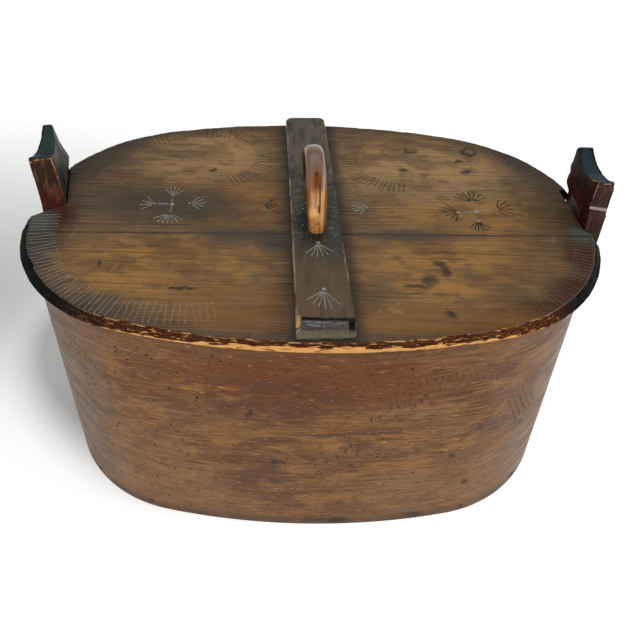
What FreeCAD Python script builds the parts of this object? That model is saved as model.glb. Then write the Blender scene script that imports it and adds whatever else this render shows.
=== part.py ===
"""A Norwegian tine: an oval box of bent wood whose lid is held between two springy end posts.

Frame: millimetres, +Z up, origin under the middle of the bottom board. X runs along the box,
-Y is the front. Every size is a cell of the sheet "sizes"; what follows from them is in FORMULAS.
"""
import FreeCAD, Part
import math
import os
import re
import Sketcher
from FreeCAD import Placement, Rotation, Vector

SIZES = {
    # bent side: an oval of eight tangent arcs, measured on its outer face
    "body_half_length": 210, "body_half_width": 141.3, "rim_height": 202, "wall": 5,
    "end_flat": 14.3, "side_bulge": 9.7, "end_bulge": 0.5,
    # the two thinned ends of the side lap over each other in the middle of the back
    "lap_half_length": 35, "lap_swell": 1.2, "lap_ramp": 25, "lap_gap": 0.25,
    "stitch_inset": 12, "stitch_length": 13, "stitch_width": 3.4, "stitch_thick": 1.6,
    "stitch_first": 26, "stitch_pitch": 19, "stitch_margin": 17.5,
    # bottom board and the pegs round it
    "bottom_thick": 12, "fit": 0.05, "bottom_peg_radius": 2.2, "bottom_peg_bite": 16,
    "peg_proud": 0.4,
    # lid of two boards, flared at the ends and undercut along the sides
    "lid_thick": 10, "lid_end_overhang": 6, "lid_side_overhang": 2.8, "lid_flare": 7,
    "lid_undercut": 1.8, "lid_end_flat": 6.3, "lid_side_bulge": 12.5, "lid_end_bulge": 0.4,
    "joint_y": -25.2, "joint_angle": 1.4, "joint_gap": 0.15,
    "dowel_radius": 3, "dowel_length": 32, "dowel_reach": 112,
    # end posts: each is placed by the front corner of its inner face at the lid
    "post_width": 53, "foot_width": 41, "foot_height": 16, "taper_height": 150,
    "post_clearance": 0.3, "head_clearance": 0.5, "foot_relief": 1.6, "horn_flat": 3,
    "saddle_dip": 6.3, "notch_gap": 1.0, "notch_end_gap": 2.0,
    "nose_height": 9, "nose_overlap": 1.2, "nose_setback": 14, "nose_top": 28,
    "nose_flat": 1.5, "nose_bed": 4, "foot_thin": 2,
    "post_peg_radius": 3.5, "post_peg_height": 30, "post_peg_spread": 10, "post_peg_play": 0.9,
    "left_post_inset": 16, "left_post_y": 10, "left_angle": 11.2, "left_front": 18.6, "left_back": 11.5,
    "left_leg_extra": 4.5, "left_front_lean": 2.5, "left_back_lean": 5.3, "left_lean_out": 1.2,
    "left_horn": 39.5, "left_slant_angle": 28, "left_notch_angle": 0,
    "right_post_offset": 0.6, "right_post_y": -10, "right_angle": 0, "right_front": 13.9,
    "right_back": 12.1, "right_leg_extra": 0.4, "right_front_lean": 0.8, "right_back_lean": 2.5,
    "right_lean_out": -1.7, "right_horn": 41, "right_slant_angle": 39, "right_notch_angle": 6,
    # batten across the lid, with its worn front end cut in two steps
    "batten_width": 39, "batten_back_width": 35, "batten_thick": 10.5, "batten_front_inset": 4.1,
    "batten_back_inset": 4.1,
    "batten_x": 0.3, "batten_angle": 3.6, "batten_round": 6, "batten_arris": 1.2,
    "ledge_height": 3, "ledge_depth": 3, "step_height": 6, "step_depth": 4.5,
    "batten_peg_radius": 3.2, "batten_peg_bite": 7, "peg_inner_inset": 68, "peg_outer_inset": 28,
    # arched grip
    "grip_radius": 41.6, "grip_y": 2.8, "grip_rise": 1, "grip_thick": 10, "grip_width": 14.6,
    "grip_crown_width": 13, "grip_foot_width": 11, "grip_waist": 20, "grip_facet": 2.6,
    "tenon_width": 8, "tenon_proud": 1.5, "wedge_thick": 1.8, "wedge_tip": 0.6, "wedge_length": 9,
}
FORMULAS = {
    "corner_radius": "body_half_width - side_bulge - end_flat",
    "lid_half_length": "body_half_length + lid_end_overhang",
    "lid_half_width": "body_half_width + lid_side_overhang",
    "lid_corner_radius": "lid_half_width - lid_side_bulge - lid_end_flat",
    "lid_top": "rim_height + lid_thick",
    "left_post_x": "body_half_length - left_post_inset",
    "right_post_x": "body_half_length + right_post_offset",
    "batten_front": "lid_half_width - batten_front_inset",
    "batten_back": "lid_half_width - batten_back_inset",
    "batten_peg_inner": "batten_front - peg_inner_inset",
    "batten_peg_outer": "batten_front - peg_outer_inset",
    "batten_top": "lid_top + batten_thick",
    "lap_middle": "side_radius - wall / 2",
    "side_radius": "((body_half_length - corner_radius - end_bulge)^2 + (corner_radius + side_bulge)^2"
                   " - corner_radius^2) / (2 * side_bulge)",
    "grip_crown": "batten_top + grip_rise",
    "tenon_end": "rim_height - tenon_proud",
    "right_through": "3 * rim_height",
}
CORNER_PEG_ANGLES = (13, 42, 71)

doc = FreeCAD.newDocument("tine_box")
sheet = doc.addObject("Spreadsheet::Sheet", "sizes")


# ---------------------------------------------------------------- sheet and expressions
def fill_sheet():
    for row, (alias, number) in enumerate(SIZES.items(), 1):
        sheet.set(f"A{row}", alias)
        sheet.set(f"B{row}", str(number))
        sheet.setAlias(f"B{row}", alias)
    doc.recompute()


def cells(text):
    """Write a formula of aliases as an expression on the sheet."""
    def spell(match):
        word = match.group()
        if word in FORMULAS:
            return "(" + cells(FORMULAS[word]) + ")"
        return f"sizes.{word}" if word in SIZES else word
    return re.sub(r"[a-z][a-z_]*", spell, str(text))


def value(text):
    return float(sheet.evalExpression(cells(text)))


def bind(thing, **formulas):
    for name, text in formulas.items():
        thing.setExpression(name, cells(text))


# ---------------------------------------------------------------- bodies and sketches
def new_body(label):
    body = doc.addObject("PartDesign::Body", label)
    body.Label = label
    return body


def new_sketch(body, role, name, lift="0"):
    """A sketch on one of the body's own origin planes, lifted along the plane's normal."""
    sketch = body.newObject("Sketcher::SketchObject", name)
    plane = next(f for f in body.Origin.OriginFeatures if f.Role == role)
    sketch.AttachmentSupport = [(plane, "")]
    sketch.MapMode = "FlatFace"
    sketch.setExpression("AttachmentOffset.Base.z", cells(lift))
    return sketch


def pin(sketch, curve, point, x, y):
    """Hold one point of a curve at two formulas from the sketch's origin."""
    for kind, text in (("DistanceX", x), ("DistanceY", y)):
        number = sketch.addConstraint(Sketcher.Constraint(kind, -1, 1, curve, point, value(text)))
        sketch.setExpression(f"Constraints[{number}]", cells(text))


def polygon(sketch, corners, bows=()):
    """Close a loop through the corners; bows maps a side's number to (radius, centre y), on x = 0."""
    bows = dict(bows)
    base = sketch.GeometryCount
    spots = [Vector(value(x), value(y), 0) for x, y in corners]
    for side, start in enumerate(spots):
        end = spots[(side + 1) % len(spots)]
        curve = Part.LineSegment(start, end)
        if side in bows:
            radius, centre = (value(text) for text in bows[side])
            crown = Vector(0, centre + radius, 0)
            curve = Part.Arc(start, crown, end)
        sketch.addGeometry(curve)
    for side, (x, y) in enumerate(corners):
        if side in bows:
            continue
        after = (side + 1) % len(corners)
        pin(sketch, base + side, 1, x, y)
        if after in bows:
            pin(sketch, base + side, 2, *corners[after])
    for side in range(len(corners)):
        after = (side + 1) % len(corners)
        meeting = []
        for curve in (base + side, base + after):
            meeting += [curve, curve_end(sketch, curve, spots[after])]
        sketch.addConstraint(Sketcher.Constraint("Coincident", *meeting))
    for side, (radius, _) in bows.items():
        number = sketch.addConstraint(Sketcher.Constraint("Radius", base + side, value(radius)))
        sketch.setExpression(f"Constraints[{number}]", cells(radius))


def curve_end(sketch, curve, spot):
    """1 or 2: which end of the curve lies at the spot."""
    return 1 if sketch.getPoint(curve, 1).distanceToPoint(spot) < 1e-6 else 2


def circle(sketch, x, y, radius):
    curve = sketch.addGeometry(Part.Circle(Vector(value(x), value(y), 0), Vector(0, 0, 1), value(radius)))
    pin(sketch, curve, 3, x, y)
    number = sketch.addConstraint(Sketcher.Constraint("Radius", curve, value(radius)))
    sketch.setExpression(f"Constraints[{number}]", cells(radius))


def oval(sketch, half_length, half_width, radius, side_bulge, end_bulge, inset="0"):
    """Eight tangent arcs: four corners, two long sides, two ends, all moved inward by inset."""
    centre_x = f"({half_length} - {radius} - {end_bulge})"
    centre_y = f"({half_width} - {radius} - {side_bulge})"
    side = f"(({centre_x}^2 + ({radius} + {side_bulge})^2 - {radius}^2) / (2 * {side_bulge}))"
    end = f"(({centre_y}^2 + ({radius} + {end_bulge})^2 - {radius}^2) / (2 * {end_bulge}))"
    a, b, cx, cy, r = (value(text) for text in (half_length, half_width, centre_x, centre_y, radius))
    side_r, end_r = value(side), value(end)
    to_end = math.atan2(cy, cx - (a - end_r))
    to_side = math.atan2(cy - (b - side_r), cx)
    base = sketch.GeometryCount
    arcs = []
    for quarter in range(4):
        sx = 1 if quarter in (0, 3) else -1
        sy = 1 if quarter < 2 else -1
        turns = sorted((to_end, to_side)) if sx == sy else sorted((math.pi / 2 - to_side,
                                                                   math.pi / 2 - to_end))
        start = quarter * math.pi / 2 + turns[0]
        stop = quarter * math.pi / 2 + turns[1]
        arcs.append((sx * cx, sy * cy, r, start, stop))
        if sx == sy:
            middle = math.pi / 2 + (0 if sy > 0 else math.pi)
            arcs.append((0, sy * (b - side_r), side_r, middle - (math.pi / 2 - to_side),
                         middle + (math.pi / 2 - to_side)))
        else:
            middle = math.pi if sx < 0 else 2 * math.pi
            arcs.append((sx * (a - end_r), 0, end_r, middle - to_end, middle + to_end))
    shift = value(inset)
    for x, y, bend, start, stop in arcs:
        ring = Part.Circle(Vector(x, y, 0), Vector(0, 0, 1), bend - shift)
        sketch.addGeometry(Part.ArcOfCircle(ring, start, stop))
    for number in range(8):
        after = base + (number + 1) % 8
        sketch.addConstraint(Sketcher.Constraint("Tangent", base + number, 2, after, 1))
    for number in range(8):
        if number % 2 == 0:
            sx = "" if number in (0, 6) else "-"
            sy = "" if number < 4 else "-"
            pin(sketch, base + number, 3, sx + centre_x, sy + centre_y)
            bend = radius
        else:
            bend = side if number in (1, 5) else end
        held = sketch.addConstraint(Sketcher.Constraint("Radius", base + number,
                                                        arcs[number][2] - shift))
        sketch.setExpression(f"Constraints[{held}]", cells(f"{bend} - ({inset})"))


def body_oval(sketch, inset="0"):
    oval(sketch, "body_half_length", "body_half_width", "corner_radius", "side_bulge", "end_bulge", inset)


def wall_reach(y, inset=0.0):
    """How far out in X the bent side's face is at a given Y, moved inward by inset."""
    radius = value("corner_radius")
    centre_x = value("body_half_length - corner_radius - end_bulge")
    centre_y = value("body_half_width - corner_radius - side_bulge")
    off = max(abs(y) - centre_y, 0)
    return centre_x + math.sqrt((radius - inset) ** 2 - off ** 2)


def pad(body, sketch, length, name="pad", symmetric=False, backward=False):
    feature = body.newObject("PartDesign::Pad", name)
    feature.Profile = sketch
    if symmetric:
        feature.SideType = "Symmetric"
    feature.Reversed = backward
    feature.setExpression("Length", cells(length))
    return feature


def pocket(body, sketch, name):
    """Cut a sketch right through the body, both ways."""
    feature = body.newObject("PartDesign::Pocket", name)
    feature.Profile = sketch
    feature.SideType = "Symmetric"
    feature.setExpression("Length", cells("right_through"))
    return feature


def edges_where(feature, test):
    """Names of the edges of a computed feature whose start, middle and end pass the test."""
    names = []
    for number, edge in enumerate(feature.Shape.Edges, 1):
        middle = edge.valueAt((edge.FirstParameter + edge.LastParameter) / 2)
        if test(edge.Vertexes[0].Point, middle, edge.Vertexes[-1].Point):
            names.append(f"Edge{number}")
    return names


def dress(body, kind, feature, size, test):
    """Fillet or chamfer the edges of a feature that pass the test."""
    doc.recompute()
    names = edges_where(feature, test)
    if not names:
        raise RuntimeError(f"{body.Label}: no edge to dress")
    finish = body.newObject(f"PartDesign::{kind}", kind.lower())
    finish.Base = (feature, names)
    finish.setExpression("Radius" if kind == "Fillet" else "Size", cells(size))
    return finish


# ---------------------------------------------------------------- primitives, cuts and groups
def cylinder(name, radius, height, foot, direction):
    """A round peg or bore from foot along direction; radius and height are formulas or numbers."""
    rod = doc.addObject("Part::Cylinder", name)
    bind(rod, Radius=radius, Height=height)
    rod.Placement = Placement(foot, Rotation(Vector(0, 0, 1), direction))
    return rod


def group(label, members):
    """Separate solids kept together as one node or one tool."""
    joined = doc.addObject("Part::Compound", label)
    joined.Label = label
    joined.Links = members
    return joined


def cut(label, base, *tools):
    """Take the tools out of the base one after another; the last result carries the label."""
    base.Label = label + "_blank"
    for number, tool in enumerate(tools, 1):
        result = doc.addObject("Part::Cut", f"{label}_cut_{number}")
        result.Base = base
        result.Tool = tool
        base = result
    base.Label = label
    return base


# ---------------------------------------------------------------- the box
def side_band():
    """One long thin board bent into an oval, its thinned ends lapped at the back."""
    body = new_body("side_band")
    outer = new_sketch(body, "XY_Plane", "band_outer")
    body_oval(outer)
    pad(body, outer, "rim_height", "band_block")
    inner = new_sketch(body, "XY_Plane", "band_inner")
    body_oval(inner, "wall")
    pocket(body, inner, "band_hollow")
    centre = "(body_half_width - side_radius)"

    def surface(x, inset):
        return f"{centre} + sqrt((side_radius - ({inset}))^2 - ({x})^2)"

    swell = new_sketch(body, "XY_Plane", "lap_swell")
    left, right, end = "-lap_half_length", "lap_half_length", "lap_half_length + lap_ramp"
    polygon(swell, [(left, surface(left, "-lap_swell")), (right, surface(right, "-lap_swell")),
                    (end, surface(end, "wall / 10")), (right, surface(right, "wall / 2")),
                    (left, surface(left, "wall / 2"))],
            {0: ("side_radius + lap_swell", centre)})
    pad(body, swell, "rim_height", "lap_step")
    slit = new_sketch(body, "XY_Plane", "lap_slit")
    near, far = "wall / 2 - lap_gap / 2", "wall / 2 + lap_gap / 2"
    left_out, right_out = "-lap_half_length - lap_gap", "lap_half_length + lap_gap"
    polygon(slit, [(left, surface(left, near)), (right_out, surface(right_out, near)),
                   (right_out, surface(right_out, "wall + 1")), (right, surface(right, "wall + 1")),
                   (right, surface(right, far)), (left_out, surface(left_out, far)),
                   (left_out, surface(left_out, "-lap_swell - 1")), (left, surface(left, "-lap_swell - 1"))],
            {0: (f"side_radius - ({near})", centre), 4: (f"side_radius - ({far})", centre)})
    pocket(body, slit, "lap_parting")
    return body


def bottom_board():
    body = new_body("bottom_board")
    sketch = new_sketch(body, "XY_Plane", "bottom_outline")
    body_oval(sketch, "wall + fit")
    pad(body, sketch, "bottom_thick", "bottom_block")
    return body


def bottom_peg_places():
    """Where the pegs round the bottom start on the outer face, and which way they run."""
    corner = Vector(value("body_half_length - corner_radius - end_bulge"),
                    value("body_half_width - corner_radius - side_bulge"), 0)
    start = value("corner_radius + peg_proud")
    height = value("bottom_thick / 2")
    places = []
    for sx in (1, -1):
        for sy in (1, -1):
            centre = Vector(sx * corner.x, sy * corner.y, height)
            for angle in CORNER_PEG_ANGLES:
                turn = math.radians(angle)
                out = Vector(sx * math.cos(turn), sy * math.sin(turn), 0)
                places.append((centre + out * start, -out))
    for sy in (1, -1):
        swell = value("lap_swell") if sy > 0 else 0
        reach = value("body_half_width + peg_proud") + swell
        places.append((Vector(0, sy * reach, height), Vector(0, -sy, 0)))
    return places


def bottom_rods(name, clearance):
    rods = []
    for number, (foot, inward) in enumerate(bottom_peg_places(), 1):
        rods.append(cylinder(f"{name}_{number}", f"bottom_peg_radius + {clearance}",
                             f"wall + bottom_peg_bite + {clearance}", foot, inward))
    return rods


def stitch_places():
    """Middle of each root stitch: two upright rows, one near each end of the lap."""
    places = []
    rows = 1 + int(value("(rim_height - stitch_first - stitch_margin) / stitch_pitch"))
    for side in (-1, 1):
        x = side * value("lap_half_length - stitch_inset")
        lean = math.asin(x / value("side_radius"))
        y = value("body_half_width - side_radius") + value("lap_middle") * math.cos(lean)
        for row in range(rows):
            z = value("stitch_first") + row * value("stitch_pitch")
            places.append(Placement(Vector(x, y, z), Rotation(Vector(0, 0, 1), -math.degrees(lean))))
    return places


def stitch_block(name, place, width, depth, height):
    block = doc.addObject("Part::Box", name)
    bind(block, Length=width, Width=depth, Height=height)
    shift = Vector(-value(width) / 2, -value(depth) / 2, -value(height) / 2)
    block.Placement = place.multiply(Placement(shift, Rotation()))
    return block


def seam_lacing():
    """Root stitches: flat loops through the lap, each with an outer and an inner bar."""
    loops = []
    through = "wall + 2 * lap_swell"
    for number, place in enumerate(stitch_places(), 1):
        block = stitch_block(f"stitch_block_{number}", place, "stitch_width",
                             f"{through} + 2 * stitch_thick", "stitch_length")
        eye = stitch_block(f"stitch_eye_{number}", place, "2 * stitch_width", through,
                           "stitch_length - 2 * stitch_thick")
        loop = doc.addObject("Part::Cut", f"stitch_{number}")
        loop.Base = block
        loop.Tool = eye
        loops.append(loop)
    return group("seam_lacing", loops)


def stitch_slots():
    """The awl slots that the legs of the stitches pass through."""
    slots = []
    for number, place in enumerate(stitch_places(), 1):
        for end in (-1, 1):
            rise = Placement(Vector(0, 0, end * value("stitch_length - stitch_thick") / 2), Rotation())
            slots.append(stitch_block(f"slot_{number}_{end + 1}", place.multiply(rise),
                                      "stitch_width + 2 * fit", "4 * wall", "stitch_thick + 2 * fit"))
    return slots


# ---------------------------------------------------------------- the end posts
def post_frame(side):
    """Placement of a post's own frame: at the inner face's front corner, Y along that face."""
    sign = -1 if side == "left" else 1
    spot = Vector(sign * value(f"{side}_post_x"), value(f"{side}_post_y"), 0)
    return Placement(spot, Rotation(Vector(0, 0, 1), value(f"{side}_angle")))


def post_blank(side):
    """The post's block: lofted from its front outline to its back one, then nose, saddle and foot."""
    inward = "" if side == "left" else "-"
    outward = "-" if side == "left" else ""
    body = new_body(f"{side}_post")
    top = f"lid_top + {side}_horn"
    outlines = []
    for end, lift in (("front", "0"), ("back", "-post_width")):
        thick = f"{side}_{end}"
        leg = f"({thick} + {side}_leg_extra)"
        outline = new_sketch(body, "XZ_Plane", f"{side}_{end}_outline", lift)
        polygon(outline, [(f"{inward}0", "foot_height"), (f"{outward}({leg} - foot_thin)", "foot_height"),
                          (f"{outward}{leg}", "taper_height"), (f"{outward}{thick}", "lid_top"),
                          (f"{outward}({thick} + {side}_lean_out)", top),
                          (f"{outward}{side}_{end}_lean", top),
                          (f"{inward}0", "lid_top + nose_height")])
        outlines.append(outline)
    block = body.newObject("PartDesign::AdditiveLoft", f"{side}_block")
    block.Profile = outlines[0]
    block.Sections = outlines[1:]
    block.Ruled = True
    nose = new_sketch(body, "XZ_Plane", f"{side}_nose", "-nose_setback")
    tip = f"{inward}(notch_gap + nose_overlap)"
    bed = f"{outward}nose_bed"
    polygon(nose, [(bed, "lid_top"), (f"{inward}0", "lid_top"), (tip, "lid_top + nose_height"),
                   (tip, "lid_top + nose_height + nose_flat"), (bed, "lid_top + nose_top")])
    pad(body, nose, "post_width - nose_setback", f"{side}_nose_block", backward=True)
    saddle = new_sketch(body, "YZ_Plane", f"{side}_saddle")
    chord = "(post_width / 2 - horn_flat)"
    bend = f"(({chord}^2 + saddle_dip^2) / (2 * saddle_dip))"
    circle(saddle, "post_width / 2", f"{top} - saddle_dip + {bend}", bend)
    pocket(body, saddle, f"{side}_saddle_cut")
    narrowing = "(post_width - foot_width) / 2"
    flanks = (("near", "0", "-post_width", narrowing),
              ("far", "post_width", "2 * post_width", f"post_width - {narrowing}"))
    for end, edge, beyond, foot in flanks:
        flank = new_sketch(body, "YZ_Plane", f"{side}_{end}_flank")
        polygon(flank, [(edge, "taper_height"), (beyond, "taper_height"), (beyond, "0"), (foot, "0"),
                        (foot, "foot_height")])
        pocket(body, flank, f"{side}_{end}_taper")
    body.Placement = post_frame(side)
    return body


def post_tools(side):
    """What each post is cut to: the bent side it stands against, with play for its foot to swing."""
    tools = []
    for name, inset, base, top in (("seat", "-post_clearance", "0", "rim_height + head_clearance"),
                                   ("swing", "-post_clearance - foot_relief", "0",
                                    "post_peg_height + post_peg_radius")):
        tool = new_body(f"{side}_{name}")
        sketch = new_sketch(tool, "XY_Plane", f"{side}_{name}_outline", base)
        body_oval(sketch, inset)
        pad(tool, sketch, top, f"{side}_{name}_block")
        tools.append(tool)
    return tools


def post_peg_rods(side, name, play, long=False):
    """The two pegs at the post's foot; their axes run along X through the hinge line."""
    sign = -1 if side == "left" else 1
    rods = []
    frame = post_frame(side)
    middle = frame.multVec(Vector(0, value("post_width / 2"), 0)).y
    outer = abs(frame.multVec(Vector(0, value("post_width / 2"), 0)).x)
    outer += value(f"({side}_front + {side}_back) / 2 + {side}_leg_extra")
    for number, step in enumerate((-1, 1), 1):
        y = middle + step * value("post_peg_spread")
        inner = wall_reach(y, value("wall")) - value("peg_proud")
        reach = outer + (value("wall") if long else value("peg_proud"))
        foot = Vector(sign * reach, y, value("post_peg_height"))
        length = reach - inner + (value("wall") if long else 0)
        rods.append(cylinder(f"{side}_{name}_{number}", f"post_peg_radius + {play}", length, foot,
                             Vector(-sign, 0, 0)))
    return rods


# ---------------------------------------------------------------- the lid
def lid_blank(label):
    """The whole lid's block, lofted from its flared lower outline to its top one."""
    body = new_body(label)
    lower = new_sketch(body, "XY_Plane", f"{label}_lower", "rim_height")
    oval(lower, "(lid_half_length + lid_flare)", "(lid_half_width - lid_undercut)", "lid_corner_radius",
         "lid_side_bulge", "lid_end_bulge")
    upper = new_sketch(body, "XY_Plane", f"{label}_upper", "lid_top")
    oval(upper, "lid_half_length", "lid_half_width", "lid_corner_radius", "lid_side_bulge",
         "lid_end_bulge")
    loft = body.newObject("PartDesign::AdditiveLoft", f"{label}_block")
    loft.Profile = lower
    loft.Sections = [upper]
    loft.Ruled = True
    return body


def lid_board(label, keep):
    """One board: the lid's block without the other board's side of the slightly turned joint."""
    body = lid_blank(label)
    far = "2 * lid_half_length"
    rise = f"({far} * tan(joint_angle))"
    sign = "-" if keep == "rear" else "+"
    edge = f"joint_y {'+' if keep == 'rear' else '-'} joint_gap / 2"
    beyond = f"{sign} 2 * lid_half_width"
    waste = new_sketch(body, "XY_Plane", f"{label}_joint")
    polygon(waste, [(f"-{far}", f"{edge} - {rise}"), (far, f"{edge} + {rise}"),
                    (far, f"{edge} {beyond}"), (f"-{far}", f"{edge} {beyond}")])
    pocket(body, waste, f"{label}_parting")
    return body


def notch_block(side):
    """What the lid loses for a post: parallel to the post's inner face, slanted open at the front."""
    inward = "" if side == "left" else "-"
    outward = "-" if side == "left" else ""
    body = new_body(f"{side}_notch")
    sketch = new_sketch(body, "XY_Plane", f"{side}_notch_outline", "rim_height - 1")
    far = "post_width"
    fan = f"(post_width + notch_end_gap) * tan({side}_notch_angle)"
    polygon(sketch, [(f"{inward}notch_gap", "-notch_end_gap"),
                     (f"{outward}{far}", f"-notch_end_gap - ({far} + notch_gap) * tan({side}_slant_angle)"),
                     (f"{outward}{far}", "post_width + notch_end_gap"),
                     (f"{inward}(notch_gap + {fan})", "post_width + notch_end_gap")])
    pad(body, sketch, "lid_thick + 2", f"{side}_notch_block")
    body.Placement = post_frame(side)
    return body


def dowel_rods(name, clearance):
    rods = []
    for number, side in enumerate((-1, 1), 1):
        x = side * value("dowel_reach")
        y = value("joint_y") + x * math.tan(math.radians(value("joint_angle")))
        foot = Vector(x, y - value(f"dowel_length / 2 + {clearance}"), value("rim_height + lid_thick / 2"))
        rods.append(cylinder(f"{name}_{number}", f"dowel_radius + {clearance}",
                             f"dowel_length + 2 * {clearance}", foot, Vector(0, 1, 0)))
    return rods


def batten_frame(height):
    """Placement of things that lie along the batten, which crosses the lid at a slight turn."""
    return Placement(Vector(value("batten_x"), 0, value(height)),
                     Rotation(Vector(0, 0, 1), value("batten_angle")))


def batten_peg_rods(name, clearance):
    rods = []
    for number, (end, reach) in enumerate(((-1, "outer"), (-1, "inner"), (1, "inner"), (1, "outer")), 1):
        foot = batten_frame("rim_height").multVec(Vector(0, end * value(f"batten_peg_{reach}"), 0))
        rods.append(cylinder(f"{name}_{number}", f"batten_peg_radius + {clearance}",
                             f"lid_thick + batten_peg_bite + {clearance}", foot, Vector(0, 0, 1)))
    return rods


def batten():
    """The cross batten: stepped front end, flanks that draw in to the back, rounded and soft arrises."""
    body = new_body("lid_batten")
    side = new_sketch(body, "YZ_Plane", "batten_side")
    front = "-batten_front"
    polygon(side, [(front, "0"), ("batten_back", "0"), ("batten_back", "batten_thick"),
                   (f"{front} + step_depth", "batten_thick"), (f"{front} + ledge_depth", "step_height"),
                   (front, "ledge_height")])
    bar = pad(body, side, "batten_width", "batten_bar", symmetric=True)
    for end in ("-", ""):
        flank = new_sketch(body, "XY_Plane", "batten_flank" + ("_left" if end else "_right"))
        polygon(flank, [(f"{end}batten_width / 2", front), (f"{end}batten_back_width / 2", "batten_back"),
                        (f"{end}batten_width", "batten_back"), (f"{end}batten_width", front)])
        bar = pocket(body, flank, "batten_taper" + ("_left" if end else "_right"))
    back = value("batten_back") - 0.01
    half, thick = value("batten_back_width / 2"), value("batten_thick")
    rounds = dress(body, "Fillet", bar, "batten_round",
                   lambda *spots: all(s.y > back and abs(abs(s.x) - half) < 0.01 for s in spots))
    dress(body, "Chamfer", rounds, "batten_arris",
          lambda *spots: all(abs(s.z - thick) < 0.01 and abs(s.x) > half - 0.01 for s in spots))
    body.Placement = batten_frame("lid_top")
    return body


def grip():
    """The bentwood arch: faceted, narrower at the crown and feet, with a tenon at each foot."""
    body = new_body("handle")
    arch = new_sketch(body, "YZ_Plane", "grip_arch")
    near, far = "grip_y - grip_radius", "grip_y + grip_radius"
    inner = "(grip_radius - grip_thick)"
    arch_outline(arch, near, far, inner)
    block = pad(body, arch, "grip_width", "grip_block", symmetric=True)
    half, feet = value("grip_width / 2"), value("batten_top") + 0.01
    dress(body, "Chamfer", block, "grip_facet",
          lambda *spots: all(abs(abs(s.x) - half) < 0.01 for s in spots) and spots[1].z > feet)
    for end in ("-", ""):
        flank = new_sketch(body, "XZ_Plane", "grip_flank" + ("_left" if end else "_right"))
        wide = f"{end}grip_width"
        polygon(flank, [(f"{end}grip_foot_width / 2", "batten_top"), (f"{end}grip_width / 2",
                                                                      "batten_top + grip_waist"),
                        (f"{end}grip_crown_width / 2", "grip_crown + grip_radius"),
                        (wide, "grip_crown + grip_radius"), (wide, "batten_top")])
        pocket(body, flank, "grip_taper" + ("_left" if end else "_right"))
    tenons = new_sketch(body, "XY_Plane", "grip_tenons", "tenon_end")
    half_tenon = "tenon_width / 2"
    for middle in (f"{near} + grip_thick / 2", f"{far} - grip_thick / 2"):
        polygon(tenons, [(f"-{half_tenon}", f"{middle} - {half_tenon}"),
                         (half_tenon, f"{middle} - {half_tenon}"),
                         (half_tenon, f"{middle} + {half_tenon}"),
                         (f"-{half_tenon}", f"{middle} + {half_tenon}")])
    pad(body, tenons, "batten_top - tenon_end + fit", "grip_tenon_pad")
    body.Placement = batten_frame("0")
    return body


def arch_outline(sketch, near, far, inner):
    """Two straight legs joined by an outer and an inner half circle."""
    y1, y2, z0, z1 = value(near), value(far), value("batten_top"), value("grip_crown")
    thick, middle = value("grip_thick"), value("grip_y")
    outer = Part.Circle(Vector(middle, z1, 0), Vector(0, 0, 1), value("grip_radius"))
    inside = Part.Circle(Vector(middle, z1, 0), Vector(0, 0, 1), value(inner))
    lines = [((y1, z1), (y1, z0)), ((y1, z0), (y1 + thick, z0)), ((y1 + thick, z0), (y1 + thick, z1)),
             ((y2 - thick, z1), (y2 - thick, z0)), ((y2 - thick, z0), (y2, z0)), ((y2, z0), (y2, z1))]
    for start, end in lines[:3]:
        sketch.addGeometry(Part.LineSegment(Vector(*start, 0), Vector(*end, 0)))
    sketch.addGeometry(Part.ArcOfCircle(inside, 0, math.pi))
    for start, end in lines[3:]:
        sketch.addGeometry(Part.LineSegment(Vector(*start, 0), Vector(*end, 0)))
    sketch.addGeometry(Part.ArcOfCircle(outer, 0, math.pi))
    joins = [(0, 2, 1, 1), (1, 2, 2, 1), (2, 2, 3, 2), (3, 1, 4, 1), (4, 2, 5, 1), (5, 2, 6, 1),
             (6, 2, 7, 1), (7, 2, 0, 1)]
    for join in joins:
        sketch.addConstraint(Sketcher.Constraint("Coincident", *join))
    pin(sketch, 0, 1, near, "grip_crown")
    pin(sketch, 0, 2, near, "batten_top")
    pin(sketch, 2, 1, f"{near} + grip_thick", "batten_top")
    pin(sketch, 2, 2, f"{near} + grip_thick", "grip_crown")
    pin(sketch, 4, 1, f"{far} - grip_thick", "grip_crown")
    pin(sketch, 4, 2, f"{far} - grip_thick", "batten_top")
    pin(sketch, 6, 1, far, "batten_top")
    pin(sketch, 6, 2, far, "grip_crown")
    for bow in (3, 7):
        level = sketch.addConstraint(Sketcher.Constraint("DistanceY", -1, 1, bow, 3, z1))
        sketch.setExpression(f"Constraints[{level}]", cells("grip_crown"))


def tenon_centres():
    """The middle of each tenon along the batten."""
    return [value("grip_y - grip_radius + grip_thick / 2"), value("grip_y + grip_radius - grip_thick / 2")]


def mortises():
    """Square holes through the batten and the boards for the grip's tenons."""
    tools = []
    for number, along in enumerate(tenon_centres(), 1):
        tool = doc.addObject("Part::Box", f"mortise_{number}")
        side = "tenon_width + 2 * fit"
        bind(tool, Length=side, Width=side, Height="lid_thick + batten_thick + 2 * wall")
        half = value(side) / 2
        shift = Placement(Vector(-half, along - half, -value("wall")), Rotation())
        tool.Placement = batten_frame("rim_height").multiply(shift)
        tools.append(tool)
    return tools


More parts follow.
